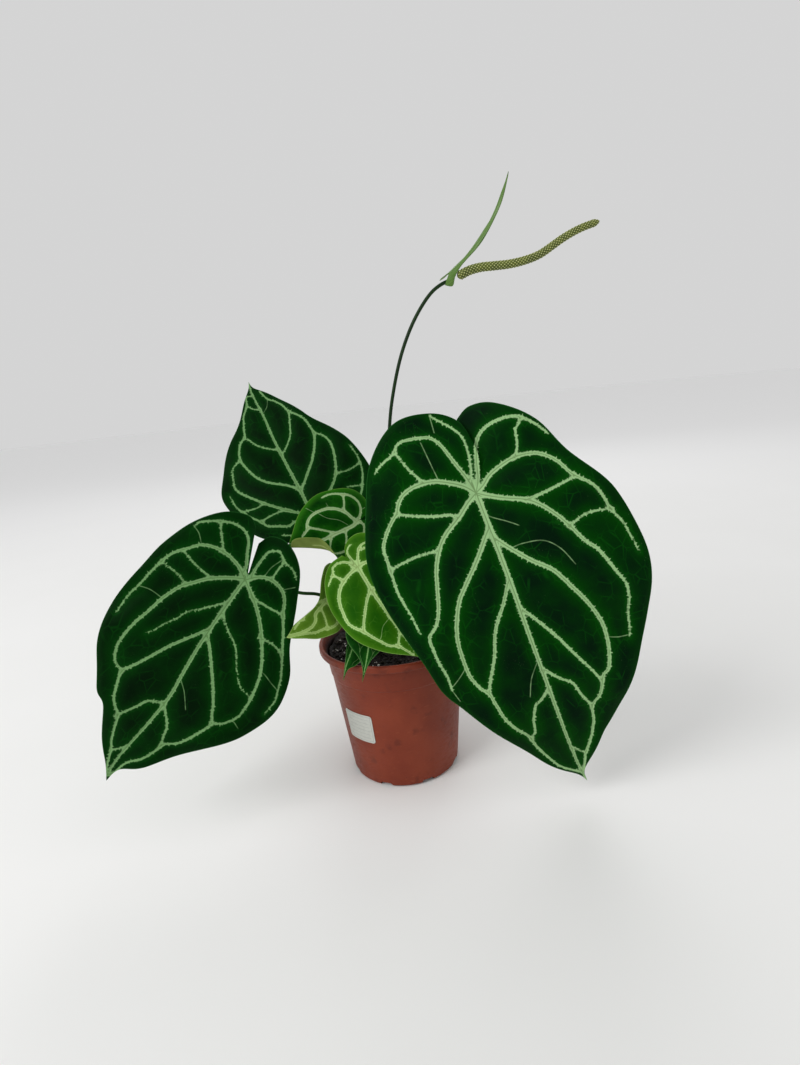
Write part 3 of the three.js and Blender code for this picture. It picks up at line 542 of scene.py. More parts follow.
def grid_faces(rows, columns, first=0, flip=False):
    """Quads of a grid of (rows + 1) by (columns + 1) points."""
    a = first + np.arange(rows)[:, None] * (columns + 1) + np.arange(columns)[None, :]
    quads = np.stack([a, a + 1, a + columns + 2, a + columns + 1], -1).reshape(-1, 4)
    return quads[:, ::-1] if flip else quads


def strip_faces(one, other, flip=False):
    """Quads between two lines of point numbers."""
    quads = np.stack([one[:-1], one[1:], other[1:], other[:-1]], -1)
    return quads[:, ::-1] if flip else quads


def turned(profile, segments):
    """Points and faces of a body turned about Z from [radius, height] points."""
    profile = np.asarray(profile, float)
    angle = np.arange(segments) * 2 * math.pi / segments
    rings = len(profile)
    points = np.zeros((rings, segments, 3))
    points[..., 0] = profile[:, :1] * np.cos(angle)
    points[..., 1] = profile[:, :1] * np.sin(angle)
    points[..., 2] = profile[:, 1:]
    numbers = np.arange(rings * segments).reshape(rings, segments)
    after = np.roll(numbers, -1, axis=1)
    quads = np.stack([numbers[:-1], after[:-1], after[1:], numbers[1:]], -1).reshape(-1, 4)
    return points.reshape(-1, 3), quads


def rounded(profile, radius):
    """A profile with its inner corners rounded by a curve of about that radius."""
    profile = [np.asarray(p, float) for p in profile]
    result = [profile[0]]
    for before, corner, after in zip(profile, profile[1:], profile[2:]):
        into, out = before - corner, after - corner
        cut = min(radius, np.linalg.norm(into) / 2.2, np.linalg.norm(out) / 2.2)
        start = corner + into / np.linalg.norm(into) * cut
        end = corner + out / np.linalg.norm(out) * cut
        for share in np.linspace(0, 1, ROUNDING_STEPS + 1):
            bulge = 2 * share * (1 - share) * corner
            result.append((1 - share) ** 2 * start + bulge + share**2 * end)
    return result + [profile[-1]]


def cubic(start, end, leaving, arriving, share):
    """Points of the cubic from start to end with the two tangents given."""
    return ((2 * start - 2 * end + leaving + arriving) * share**3
            + (-3 * start + 3 * end - 2 * leaving - arriving) * share**2
            + leaving * share + start)


def lengths(points):
    """Length along a line of points, at each point."""
    spans = np.linalg.norm(np.diff(points, axis=0), axis=1)
    return np.concatenate([[0], np.cumsum(spans)])


def spline_points(points, steps):
    """Even points along a uniform Catmull-Rom curve through the points given."""
    points = np.asarray(points, float)
    padded = np.vstack([points[:1], points, points[-1:]])
    count = len(points) - 1

    def at(place):
        index = np.minimum(place.astype(int), count - 1)
        w = (place - index)[:, None]
        p0, p1, p2, p3 = (padded[index + k] for k in range(4))
        return cubic(p1, p2, (p2 - p0) / 2, (p3 - p1) / 2, w)

    places = np.linspace(0, count, CURVE_SAMPLES)
    length = lengths(at(places))
    shares = np.asarray(steps) if np.ndim(steps) else np.linspace(0, 1, steps + 1)
    return at(np.interp(shares * length[-1], length, places)), length[-1]


def stem_points(points, rings):
    """Even points along a centripetal Catmull-Rom curve."""
    points = np.asarray(points, float)
    padded = np.vstack([2 * points[0] - points[1], points, 2 * points[-1] - points[-2]])
    shares = np.linspace(0, 1, STEM_SAMPLES)[:-1, None]
    found = []
    for p0, p1, p2, p3 in zip(padded, padded[1:], padded[2:], padded[3:]):
        pairs = ((p0, p1), (p1, p2), (p2, p3))
        d0, d1, d2 = (max(np.linalg.norm(b - a) ** 0.5, 1e-4) for a, b in pairs)
        t1 = ((p1 - p0) / d0 - (p2 - p0) / (d0 + d1) + (p2 - p1) / d1) * d1
        t2 = ((p2 - p1) / d1 - (p3 - p1) / (d1 + d2) + (p3 - p2) / d2) * d1
        found.append(cubic(p1, p2, t1, t2, shares))
    line = np.vstack([*found, points[-1:]])
    length = lengths(line)
    even = np.linspace(0, length[-1], rings + 1)
    return np.stack([np.interp(even, length, line[:, k]) for k in range(3)], 1), length[-1]


def tube(line, radii):
    """Points and faces of a closed tube. radii has a row for each point of the line."""
    rings, sides = radii.shape
    along = np.gradient(line, axis=0)
    along /= np.linalg.norm(along, axis=1, keepdims=True)
    normal = np.cross(along[0], (0, 1, 0.1))
    normals = []
    for direction in along:
        normal = normal - direction * (normal @ direction)
        normal /= np.linalg.norm(normal)
        normals.append(normal)
    normals = np.array(normals)
    others = np.cross(along, normals)
    angle = np.arange(sides) * 2 * math.pi / sides
    ring = (normals[:, None] * np.cos(angle)[None, :, None]
            + others[:, None] * np.sin(angle)[None, :, None])
    points = line[:, None] + ring * radii[..., None]
    numbers = np.arange(rings * sides).reshape(rings, sides)
    after = np.roll(numbers, -1, axis=1)
    faces = np.stack([numbers[:-1], after[:-1], after[1:], numbers[1:]], -1).reshape(-1, 4).tolist()
    faces += [numbers[0][::-1].tolist(), numbers[-1].tolist()]
    return points.reshape(-1, 3), faces


class Graph:
    """A material and short names for the shader nodes that it uses."""

    def __init__(self, name, **uniform):
        self.material = bpy.data.materials.new(name)
        self.material.use_nodes = True
        self.tree = self.material.node_tree
        self.shader = self.tree.nodes["Principled BSDF"]
        for key, value in uniform.items():
            self.shader.inputs[key.replace("_", " ")].default_value = value

    def put(self, socket, value):
        """Link a socket into another one, or set its plain value."""
        if isinstance(value, bpy.types.NodeSocket):
            self.tree.links.new(value, socket)
        else:
            socket.default_value = value

    def node(self, kind, inputs, output=0, **settings):
        """One output of a new node with those inputs."""
        made = self.tree.nodes.new(kind)
        for key, value in settings.items():
            setattr(made, key, value)
        for key, value in inputs.items():
            self.put(made.inputs[key], value)
        return made.outputs[output]

    def field(self, name, output="Fac"):
        return self.node("ShaderNodeAttribute", {}, output, attribute_name=name)

    def place(self):
        """The point in the object's own space, in millimetres."""
        at = self.node("ShaderNodeTexCoord", {}, "Object")
        return self.node("ShaderNodeVectorMath", {0: at, 3: 1 / MM}, operation="SCALE")

    def math(self, operation, a, b=0.0):
        return self.node("ShaderNodeMath", {0: a, 1: b}, operation=operation)

    def times(self, a, b):
        return self.math("MULTIPLY", a, b)

    def plus(self, a, b):
        return self.math("ADD", a, b)

    def absolute(self, value):
        return self.math("ABSOLUTE", value)

    def span(self, value, low, high, start=0.0, end=1.0):
        """A smooth change from start to end where the value goes from low to high."""
        inputs = {"Value": value, "From Min": low, "From Max": high, "To Min": start, "To Max": end}
        return self.node("ShaderNodeMapRange", inputs, interpolation_type="SMOOTHSTEP")

    def noise(self, vector, scale, detail):
        inputs = {"Vector": vector, "Scale": scale, "Detail": detail}
        return self.node("ShaderNodeTexNoise", inputs, "Fac")

    def cells(self, vector, scale):
        """Distance to the edge between irregular cells."""
        inputs = {"Vector": vector, "Scale": scale}
        return self.node("ShaderNodeTexVoronoi", inputs, "Distance", feature="DISTANCE_TO_EDGE")

    def join(self, x, y):
        return self.node("ShaderNodeCombineXYZ", {0: x, 1: y})

    def stretch(self, vector, scale):
        return self.node("ShaderNodeVectorMath", {0: vector, 1: scale}, operation="MULTIPLY")

    def mix(self, share, a, b):
        """Colour a where the share is 0 and b where it is 1."""
        return self.node("ShaderNodeMix", {0: share, 6: a, 7: b}, 2, data_type="RGBA")

    def finish(self, colour, height=None, depth=0.3, roughness=None):
        """The material in that colour, with bumps of that depth in millimetres."""
        self.put(self.shader.inputs["Base Color"], colour)
        if roughness is not None:
            self.put(self.shader.inputs["Roughness"], roughness)
        if height is not None:
            inputs = {"Height": height, "Distance": depth * MM, "Strength": 1.0}
            self.put(self.shader.inputs["Normal"], self.node("ShaderNodeBump", inputs))
        return self.material


def leaf_material(kind, size):
    """Velvety lamina with pale feathered veins above, paler and ribbed below. size
    scales the feathering and the network to the blade."""
    look = {part: srgb(*tone) for part, tone in LEAF_LOOKS[kind].items()}
    graph = Graph(f"{kind}_{size}", Roughness=0.55, Sheen_Weight=0.008, Sheen_Roughness=0.4)
    graph.shader.inputs["Sheen Tint"].default_value = look["halo"]
    graph.shader.inputs["Specular IOR Level"].default_value = 0.03
    plane = graph.field("plane", "Vector")
    vein = graph.field("vein")
    across = graph.field("across")
    under = graph.field("under")

    # Band with a ragged edge and short spurs on each side, its thin middle line, fine veins
    ragged = graph.math("SUBTRACT", graph.noise(plane, 0.55 / size, 4), 0.5)
    ragged = graph.times(ragged, 1.5 * size)
    side = graph.times(graph.math("SIGN", across), 40.0)
    comb = graph.noise(graph.join(graph.field("along"), side), 0.75 / size, 2)
    spurs = graph.times(graph.span(comb, 0.5, 0.78), 1.5 * size)
    band = graph.math("SUBTRACT", graph.plus(vein, ragged), spurs)
    pale = graph.span(band, -0.35 * size, 0.3 * size, 1, 0)
    fine_side = graph.plus(graph.absolute(graph.field("fine_across")), graph.times(ragged, 0.15))
    fine = graph.times(graph.span(fine_side, 0.1 * size, 0.5 * size, 0.8, 0),
                       graph.span(graph.field("fine"), 0.3 * size, 1.2 * size, 1, 0))
    fine = graph.times(fine, graph.span(graph.noise(plane, 0.2 / size, 2), 0.35, 0.6, 0.5, 1))
    line = graph.times(graph.span(graph.absolute(across), 0.12 * size, 0.5 * size, 0.75, 0),
                       graph.span(vein, -0.85 * size, -0.5 * size, 1, 0))

    # Lamina: brighter beside the veins and in soft patches, with a faint network
    patches = graph.noise(plane, 0.035 / size, 4)
    near = graph.span(vein, 1.5 * size, 9 * size, 0.55, 0)
    tone = graph.plus(graph.times(graph.span(patches, 0.36, 0.68), 0.6), near)
    lamina = graph.mix(graph.math("MINIMUM", tone, 1.0), look["dark"], look["bright"])
    glow = graph.times(graph.span(band, 0, 3.2 * size, 0.55, 0), graph.noise(plane, 0.2 / size, 3))
    lamina = graph.mix(glow, lamina, look["halo"])
    network = graph.cells(graph.stretch(plane, (1, 0.7, 1)), 0.14 / size)
    thread = graph.times(graph.span(network, 0, 0.05, 0.3, 0),
                         graph.span(graph.noise(plane, 0.06 / size, 2), 0.42, 0.62))
    lamina = graph.mix(thread, lamina, look["halo"])
    margin = graph.field("margin")
    lamina = graph.mix(graph.span(margin, 0.5, RIM_WIDTH[kind] * size, 0.8, 0), lamina, look["rim"])
    lamina = graph.mix(graph.span(margin, 0.25, 0.8 * size, 0.8, 0), lamina, look["edge"])
    flecks = graph.times(graph.span(graph.noise(plane, 1.7, 1), 0.72, 0.8),
                         graph.span(graph.noise(plane, 0.05, 2), 0.5, 0.66, 0, 0.35))
    lamina = graph.mix(flecks, lamina, look["vein"])
    veined = graph.mix(graph.times(fine, 0.75), lamina, look["vein"])
    veined = graph.mix(pale, veined, graph.mix(line, look["vein"], look["line"]))

    # Underside: matt, with paler ribs
    shade = graph.mix(0.35, look["under"], look["dark"])
    below = graph.mix(graph.span(patches, 0.3, 0.7), look["under"], shade)
    below = graph.mix(graph.span(vein, -0.6 * size, 0.6 * size, 1, 0), below, look["under_vein"])
    below = graph.mix(graph.times(fine, 0.6), below, look["under_vein"])
    colour = graph.mix(under, veined, below)

    puckers = graph.span(network, 0, 0.3)
    nap = graph.noise(plane, 3.2, 2)
    height = graph.plus(graph.times(puckers, 0.3), graph.times(nap, 0.4))
    return graph.finish(colour, height, 0.2)


def stem_material(name, dark, bright, dots):
    """A smooth stem with faint lengthwise streaks and small pale flecks."""
    graph = Graph(name, Roughness=0.42)
    graph.shader.inputs["Specular IOR Level"].default_value = 0.15
    lines = graph.field("stem", "Vector")
    streaks = graph.noise(graph.stretch(lines, (1, 0.04, 1)), 1.2, 3)
    colour = graph.mix(graph.span(streaks, 0.35, 0.7), dark, bright)
    fleck = graph.span(graph.noise(graph.place(), 1.1, 2), 0.66, 0.74, 0, 0.5)
    colour = graph.mix(fleck, colour, dots)
    return graph.finish(colour, streaks, 0.12)


def detail_size(leaf):
    """Relief and joints are half as big on a small blade."""
    return 1 if leaf["length"] > LARGE_LEAF else 0.5


def leaf_axes(leaf):
    """Directions at the sinus: along the midrib, across it and up from the blade."""
    heading, pitch, roll = (math.radians(leaf[k]) for k in ("heading", "pitch", "roll"))
    ahead = np.array([math.cos(heading), math.sin(heading), 0])
    along = ahead * math.cos(pitch) + np.array([0, 0, math.sin(pitch)])
    level = -ahead * math.sin(pitch) + np.array([0, 0, math.cos(pitch)])
    up = level * math.cos(roll) + np.cross(along, level) * math.sin(roll)
    return along, np.cross(along, up), up


def leaf_point(leaf, side, u, v, height):
    """Points of the bent blade at (u, v), raised by height."""
    along, across, up = leaf_axes(leaf)
    bend = math.radians(leaf["droop"]) / leaf["length"]
    forward, down = np.sin(bend * v) / bend, (1 - np.cos(bend * v)) / bend
    local_up = up * np.cos(bend * v)[..., None] + along * np.sin(bend * v)[..., None]
    reach = u * side
    turn = leaf.get("turn")
    turn = turn if turn and turn["side"] == side else None
    x, z = np.zeros_like(u), np.zeros_like(u)
    for step in range(CROSS_STEPS):
        s = reach * (step + 0.5) / CROSS_STEPS
        angle = math.radians(leaf["fold"]) + math.radians(leaf["curl"]) * s / (leaf["length"] / 2)
        if turn:
            share = np.maximum(0, (v - turn["start"]) / (leaf["length"] - turn["start"]))
            line = turn["near"] + (turn["far"] - turn["near"]) * share
            angle = angle + (math.radians(turn["angle"]) * smooth(turn["start"], turn["full"], v)
                             * smooth(line - 2, line + 3, s))
        x += np.cos(angle) * reach / CROSS_STEPS
        z += np.sin(angle) * reach / CROSS_STEPS
    angle = np.where(reach == 0, 0, angle)
    return (np.array(leaf["sinus"]) + along * forward[..., None] - up * down[..., None]
            + across * (side * (x - height * np.sin(angle)))[..., None]
            + local_up * (z + height * np.cos(angle))[..., None])


def half_blade(leaf, side):
    """(u, v), row share s and column share t of one half's grid of points."""
    rows, columns = leaf["rows"], leaf["columns"]
    s = (np.arange(rows + 1) / rows) ** ROW_CROWDING
    edge, _ = spline_points([(0, leaf["length"]), *leaf["right" if side > 0 else "left"]], s)
    root = leaf["length"] * np.maximum(0, 1 - s / LOBE_ROWS)
    run = edge - np.stack([root * 0, root], 1)
    normal = np.stack([-run[:, 1], run[:, 0]], 1)
    normal /= np.maximum(np.linalg.norm(normal, axis=1, keepdims=True), 1e-9)
    bow = leaf["notch"][0 if side > 0 else 1] * smooth(NOTCH_ROWS, 1, s) * side
    t = np.arange(columns + 1) / columns
    swing = 4 * t * (1 - t) * bow[:, None]
    u = run[:, :1] * t + normal[:, :1] * swing
    v = root[:, None] + run[:, 1:] * t + normal[:, 1:] * swing
    u[:, 0] = 0
    return u, v, *np.broadcast_arrays(s[:, None], t)


def joined(veins, reach):
    """The veins with each end that stops short of another one run on to its middle, much
    in the direction the vein has there. A fine vein's far end stays free."""
    lines = [spline_points(route, 60)[0] for _, _, route in veins]
    result = []
    for number, (first, last, route) in enumerate(veins):
        route = [tuple(point) for point in route]
        others = [line for other, line in enumerate(lines) if other != number]
        others = np.vstack(others or [np.full((1, 2), FAR)])
        for end, inner in ((0, 1), (-1, -2)):
            if end == -1 and first < FINE_VEIN:
                continue
            ahead = np.subtract(route[end], route[inner])
            ahead = ahead / np.linalg.norm(ahead)
            offsets = others - route[end]
            gaps = np.linalg.norm(offsets, axis=1)
            cost = gaps - JOIN_AHEAD * (offsets @ ahead) + (gaps > reach) * FAR
            if gaps.min() > VEIN_STEP and cost.min() < FAR / 10:
                meeting = tuple(others[cost.argmin()])
                route = [meeting, *route] if end == 0 else [*route, meeting]
        result.append((first, last, route))
    return result


def nearest_vein(veins, u, v):
    """For each point: distance to a vein's edge, signed offset from its middle, place
    along it, and half its width. The distance is webbed where veins part."""
    flat = np.column_stack([u.ravel(), v.ravel()])
    marks = []
    web = np.zeros(len(flat))
    start = 0.0
    for first, last, route in veins:
        steps = max(4, int(lengths(np.asarray(route, float))[-1] / VEIN_STEP))
        line, length = spline_points(route, steps)
        tangent = np.gradient(line, axis=0)
        tangent /= np.linalg.norm(tangent, axis=1, keepdims=True)
        share = np.linspace(0, 1, steps + 1)
        ends = np.minimum(1, np.minimum(share, 1 - share) * length / 1.5 + 0.55)
        half = (first + (last - first) * share) / 2 * ends
        marks.append(np.column_stack([line, tangent, half, start + share * length]))
        gap = np.full(len(flat), FAR)
        for x, y, width in zip(line[::3, 0], line[::3, 1], half[::3]):
            gap = np.minimum(gap, np.hypot(flat[:, 0] - x, flat[:, 1] - y) - width)
        web += np.exp(-np.maximum(gap, -2) / WEB)
        start += length + VEIN_SPACING
    marks = np.vstack(marks)
    tree = KDTree(len(marks))
    for number, mark in enumerate(marks):
        tree.insert((mark[0], mark[1], 0), number)
    tree.balance()
    number = np.array([tree.find((x, y, 0))[1] for x, y in flat])
    mark = marks[number]
    offset = flat - mark[:, :2]
    forward = (offset * mark[:, 2:4]).sum(1)
    sideways = mark[:, 2] * offset[:, 1] - mark[:, 3] * offset[:, 0]
    beyond = np.maximum(0, np.abs(forward) - 0.3)
    distance = np.hypot(sideways, beyond) - mark[:, 4]
    alone = np.exp(-np.maximum(distance, -2) / WEB)
    distance = distance - WEB * np.log(np.maximum(web, alone) / alone)
    parts = (distance, sideways, mark[:, 5], mark[:, 4])
    return [part.reshape(u.shape) for part in parts]


def blade_points(leaf, side, veins):
    """The upper and lower face of one half, and what its material needs."""
    u, v, s, t = half_blade(leaf, side)
    size = detail_size(leaf)
    veins = joined(veins, JOIN_REACH * size)
    wide = [vein for vein in veins if vein[0] >= FINE_VEIN]
    thin = [vein for vein in veins if vein[0] < FINE_VEIN]
    vein, across, along, half = nearest_vein(wide, u, v)
    fine, fine_across = nearest_vein(thin, u, v)[:2] if thin else np.full((2, *u.shape), 9.0)
    margin = (1 - t) * np.hypot(u[:, -1:], v[:, -1:] - v[:, :1])

    lobe = leaf["lift"][0 if side > 0 else 1] * (1 - np.exp(np.minimum(0, v) / LOBE_REACH))
    wave = leaf["wave"] * np.sin(2 * math.pi * leaf["waves"] * s + side) * smooth(WAVE_START, 1, t)
    rise = lobe * smooth(0, 0.3, t) + wave * smooth(0, 0.15, s)
    centre = np.abs(across)
    rise = rise + PUCKER_HEIGHT * size * smooth(0, 9 * size, vein) * smooth(0, 5 * size, margin)
    groove = np.exp(-((centre / np.maximum(half, 0.4)) ** 2)) * smooth(0, 3, margin)
    rib = np.minimum(1, half / 1.6) * np.exp(-((centre / (0.8 * np.maximum(half, 0.5))) ** 2))
    edge = smooth(0, 2.5 * size, margin)
    thick = (MARGIN_THICKNESS + (BLADE_THICKNESS - MARGIN_THICKNESS) * edge) / 2
    upper = leaf_point(leaf, side, u, v, rise + thick - GROOVE_DEPTH * size * groove)
    lower = leaf_point(leaf, side, u, v, rise - thick - MIDRIB_DEPTH * size * rib * edge)
    fields = {
        "plane": plane_field(u, v),
        "vein": vein.ravel(), "across": across.ravel(), "along": along.ravel(),
        "fine": fine.ravel(), "fine_across": fine_across.ravel(), "margin": margin.ravel(),
    }
    return upper, lower, fields


def make_blade(name, leaf, veins, material, node):
    """A blade as one closed sheet made of its two halves."""
    points, faces, fields = [], [], {}
    first = 0
    rows, columns = leaf["rows"], leaf["columns"]
    for side in (1, -1):
        upper, lower, half = blade_points(leaf, side, veins)
        count = upper.shape[0] * upper.shape[1]
        points += [upper.reshape(-1, 3), lower.reshape(-1, 3)]
        faces += grid_faces(rows, columns, first, side > 0).tolist()
        faces += grid_faces(rows, columns, first + count, side < 0).tolist()
        numbers = np.arange(count).reshape(rows + 1, columns + 1) + first
        rim = np.concatenate([numbers[:, -1], numbers[-1, -2::-1]])
        faces += strip_faces(rim, rim + count, side < 0).tolist()
        for key, values in half.items():
            fields.setdefault(key, []).extend([values, values])
        fields.setdefault("under", []).extend([np.zeros(count), np.ones(count)])
        first += 2 * count
    fields = {key: np.concatenate(values) for key, values in fields.items()}
    return make_piece(name, np.vstack(points), faces, material, [node], fields, weld=0.02)


def stalk_line(leaf, stalk):
    """The stalk's route. It starts inside the crown and ends at the blade's underside."""
    azimuth, height, via, radius = stalk
    along, _, up = leaf_axes(leaf)
    outward = np.array([math.cos(math.radians(azimuth)), math.sin(math.radians(azimuth)), 0])
    start = CROWN_RADIUS + GAP + radius * 1.25
    foot = outward * start + (0, 0, height)
    shoulder = outward * (start + 1) + (0, 0, height + 6)
    size = detail_size(leaf)
    clearance = BLADE_THICKNESS / 2 + size * MIDRIB_DEPTH + 2 * GAP
    end = np.array(leaf["sinus"]) - up * clearance
    neck = end - up * (6 * size + 3) - along * 2
    return [foot, shoulder, *map(np.array, via), neck, end], up


def stem_fields(places, spread):
    """Place round and along a stem for each point of its tube."""
    around, lengthwise = np.meshgrid(np.arange(STEM_SIDES), places)
    return {"stem": plane_field(around * spread, lengthwise)}


def ribbed(radii, ribs):
    """Radii round each ring of a stem with that many faint ribs."""
    angle = np.arange(STEM_SIDES) * 2 * math.pi / STEM_SIDES
    return radii[:, None] * (1 + 0.02 * np.cos(ribs * angle))


def make_stalk(name, leaf, stalk, material, node):
    """A stalk with a thicker foot, sunk in its hole, and a swollen joint below the blade."""
    route, up = stalk_line(leaf, stalk)
    radius = stalk[3]
    line, length = stem_points(route, STALK_RINGS)
    share = np.linspace(0, 1, STALK_RINGS + 1)
    swelling = 1 + 0.25 * np.exp(-share * 14) + 0.3 * np.exp(-(((share - 0.95) / 0.04) ** 2))
    radii = radius * (1.1 - 0.25 * share) * swelling
    inward = line[0] * (0.35, 0.35, 1) + (0, 0, -7)
    line = np.vstack([inward, line, line[-1:] + up * 0.9])
    radii = np.concatenate([radii[:1] * 1.1, radii, radii[-1:] * 0.8])
    points, faces = tube(line, ribbed(radii, 5))
    fields = stem_fields(np.concatenate([[0], share * length, [length]]), 0.6)
    return make_piece(name, points, faces, material, [node], fields)


materials = {
    (kind, size): leaf_material(kind, size)
    for kind, size in sorted({LEAF_KIND[name][:2] for name in LEAVES})
}
green_stalk = stem_material("green_stalk", srgb(22, 56, 18), srgb(52, 88, 34), srgb(98, 128, 66))
young_stalk = stem_material("young_stalk", srgb(52, 86, 26), srgb(84, 116, 42), srgb(122, 148, 70))

for name, leaf in LEAVES.items():
    kind, size, slot = LEAF_KIND[name]
    material = materials[kind, size]
    make_blade(f"blade_{name}", leaf, VEINS[name], material, f"leaf_{name}")
    stem = young_stalk if kind in ("bright", "lime", "young") else green_stalk
    make_stalk(f"petiole_{name}", leaf, STALKS[name], stem, f"stalk_{name}")


def flower_stalk():
    """The thin dark stalk that carries the flower."""
    line, length = stem_points(PEDUNCLE_ROUTE, PEDUNCLE_RINGS)
    line = np.vstack([line[0] * (0.4, 0.4, 1) + (0, 0, -6), line])
    radii = np.full(PEDUNCLE_RINGS + 2, PEDUNCLE_RADIUS)
    radii[:3] *= 1.25
    points, faces = tube(line, ribbed(radii, 4))
    fields = stem_fields(np.linspace(0, length, PEDUNCLE_RINGS + 2), 0.4)
    material = stem_material("dark_stem", srgb(10, 34, 8), srgb(26, 54, 16), srgb(52, 80, 34))
    make_piece("flower_stalk", points, faces, material, ["peduncle"], fields)


def spadix_material():
    """Green florets, darker between them and pale on the stigmas."""
    graph = Graph("spadix_florets", Roughness=0.5)
    dome = graph.field("dome")
    tone = graph.span(graph.noise(graph.place(), 0.25, 3), 0.35, 0.65)
    floret = graph.mix(tone, srgb(86, 98, 14), srgb(112, 122, 24))
    colour = graph.mix(graph.span(dome, 0.02, 0.45, 1, 0), floret, srgb(56, 68, 16))
    colour = graph.mix(graph.span(dome, 0.78, 0.88), colour, srgb(206, 208, 146))
    return graph.finish(colour, graph.noise(graph.place(), 3.0, 2), 0.12)


def spadix():
    """Florets in a diamond lattice, each with a pale stigma at its top."""
    rings, sides = FLORET_ROWS * 10, FLORETS_ROUND * 12
    line, _ = stem_points(SPADIX_ROUTE, rings)
    share = np.linspace(0, 1, rings + 1)[:, None]
    around = np.arange(sides)[None, :] * (FLORETS_ROUND * 2 / sides)
    lengthwise = share * FLORET_ROWS * 2
    a, b = (around + lengthwise) / 2, (around - lengthwise) / 2
    dome = np.cos(math.pi * (a - np.round(a))) * np.cos(math.pi * (b - np.round(b)))
    ends = np.sqrt(np.clip(np.minimum(share / 0.02, (1 - share) / 0.035), 0.02, 1))
    taper = SPADIX_RADIUS + (SPADIX_TIP_RADIUS - SPADIX_RADIUS) * share
    stigma = 0.12 * smooth(0.85, 0.95, dome)
    radii = (taper + FLORET_HEIGHT * (dome ** 0.6) + stigma) * ends
    points, faces = tube(line, radii)
    make_piece("spadix_spike", points, faces, spadix_material(), ["spadix"],
               {"dome": dome.ravel()})


def spathe_material():
    """Green with fine lengthwise streaks, paler below and darker along the margin."""
    graph = Graph("spathe_green", Roughness=0.42)
    plane = graph.field("plane", "Vector")
    streaks = graph.noise(graph.stretch(plane, (1, 0.05, 1)), 1.6, 3)
    upper = graph.mix(graph.span(streaks, 0.3, 0.7), srgb(60, 98, 22), srgb(88, 124, 40))
    under = graph.mix(graph.span(streaks, 0.3, 0.7), srgb(78, 112, 38), srgb(104, 136, 54))
    colour = graph.mix(graph.field("under"), upper, under)
    margin = graph.span(graph.field("margin"), 0.1, 0.6, 0.5, 0)
    colour = graph.mix(margin, colour, srgb(60, 92, 30))
    return graph.finish(colour, streaks, 0.12)


flower_stalk()
spadix()
make_blade("spathe_strap", SPATHE, SPATHE_VEINS, spathe_material(), "spathe")


def scale_material():
    """Dry brown fibres."""
    graph = Graph("dry_scale", Roughness=0.75)
    plane = graph.field("plane", "Vector")
    fibres = graph.noise(graph.stretch(plane, (1, 0.06, 1)), 2.2, 4)
    colour = graph.mix(graph.span(fibres, 0.3, 0.7), srgb(92, 66, 38), srgb(164, 130, 86))
    return graph.finish(colour, fibres, 0.3)


scale_look = scale_material()
for number, azimuth in enumerate(SCALE_AZIMUTHS, 1):
    angle = math.radians(azimuth)
    radius = CROWN_RADIUS + 2.4
    sinus = (radius * math.cos(angle), radius * math.sin(angle), SCALE_HEIGHT)
    leaf = dict(SCALE_LEAF, sinus=sinus, heading=azimuth, pitch=72, roll=0)
    make_blade(f"dry_scale_{number}", leaf, SCALE_VEINS, scale_look, f"scale_leaf_{number}")


def crown():
    """A short stem ringed by leaf scars."""
    profile = [(0, CROWN_FOOT), (CROWN_RADIUS - 1, CROWN_FOOT)]
    span = (CROWN_TOP - CROWN_FOOT - 5) / CROWN_SCARS
    for number in range(CROWN_SCARS):
        base = CROWN_FOOT + 1 + span * number
        profile += [(CROWN_RADIUS - 0.8, base), (CROWN_RADIUS, base + span * 0.7)]
    profile += [(CROWN_RADIUS - 2, CROWN_TOP - 2), (CROWN_RADIUS - 4.5, CROWN_TOP), (0, CROWN_TOP)]
    points, faces = turned(rounded(profile, 1.2), CROWN_SEGMENTS)
    for point in points:
        bump = noise.fractal(Vector(point * (0.35, 0.35, 0.9)), 1, 2, 4)
        if math.hypot(point[0], point[1]) > 1:
            point[:2] *= 1 - 0.04 * (1 + bump)
    graph = Graph("crown_bark", Roughness=0.8)
    grain = graph.noise(graph.stretch(graph.place(), (1, 1, 0.35)), 0.9, 5)
    colour = graph.mix(graph.span(grain, 0.35, 0.65), srgb(62, 58, 30), srgb(112, 104, 60))
    stains = graph.span(graph.noise(graph.place(), 0.22, 3), 0.5, 0.65)
    material = graph.finish(graph.mix(stains, colour, srgb(96, 72, 42)), grain, 0.6)
    make_piece("crown_stem", points, faces, material, ["crown"], weld=0.01)


crown()


def wall_radius(height):
    """Radius of the pot's outer wall at a height."""
    share = height / (POT_HEIGHT - POT_LIP_HEIGHT)
    step = POT_STEP_DEPTH if height > POT_STEP_HEIGHT else 0
    return POT_BASE_RADIUS + (POT_NECK_RADIUS - POT_STEP_DEPTH - POT_BASE_RADIUS) * share + step


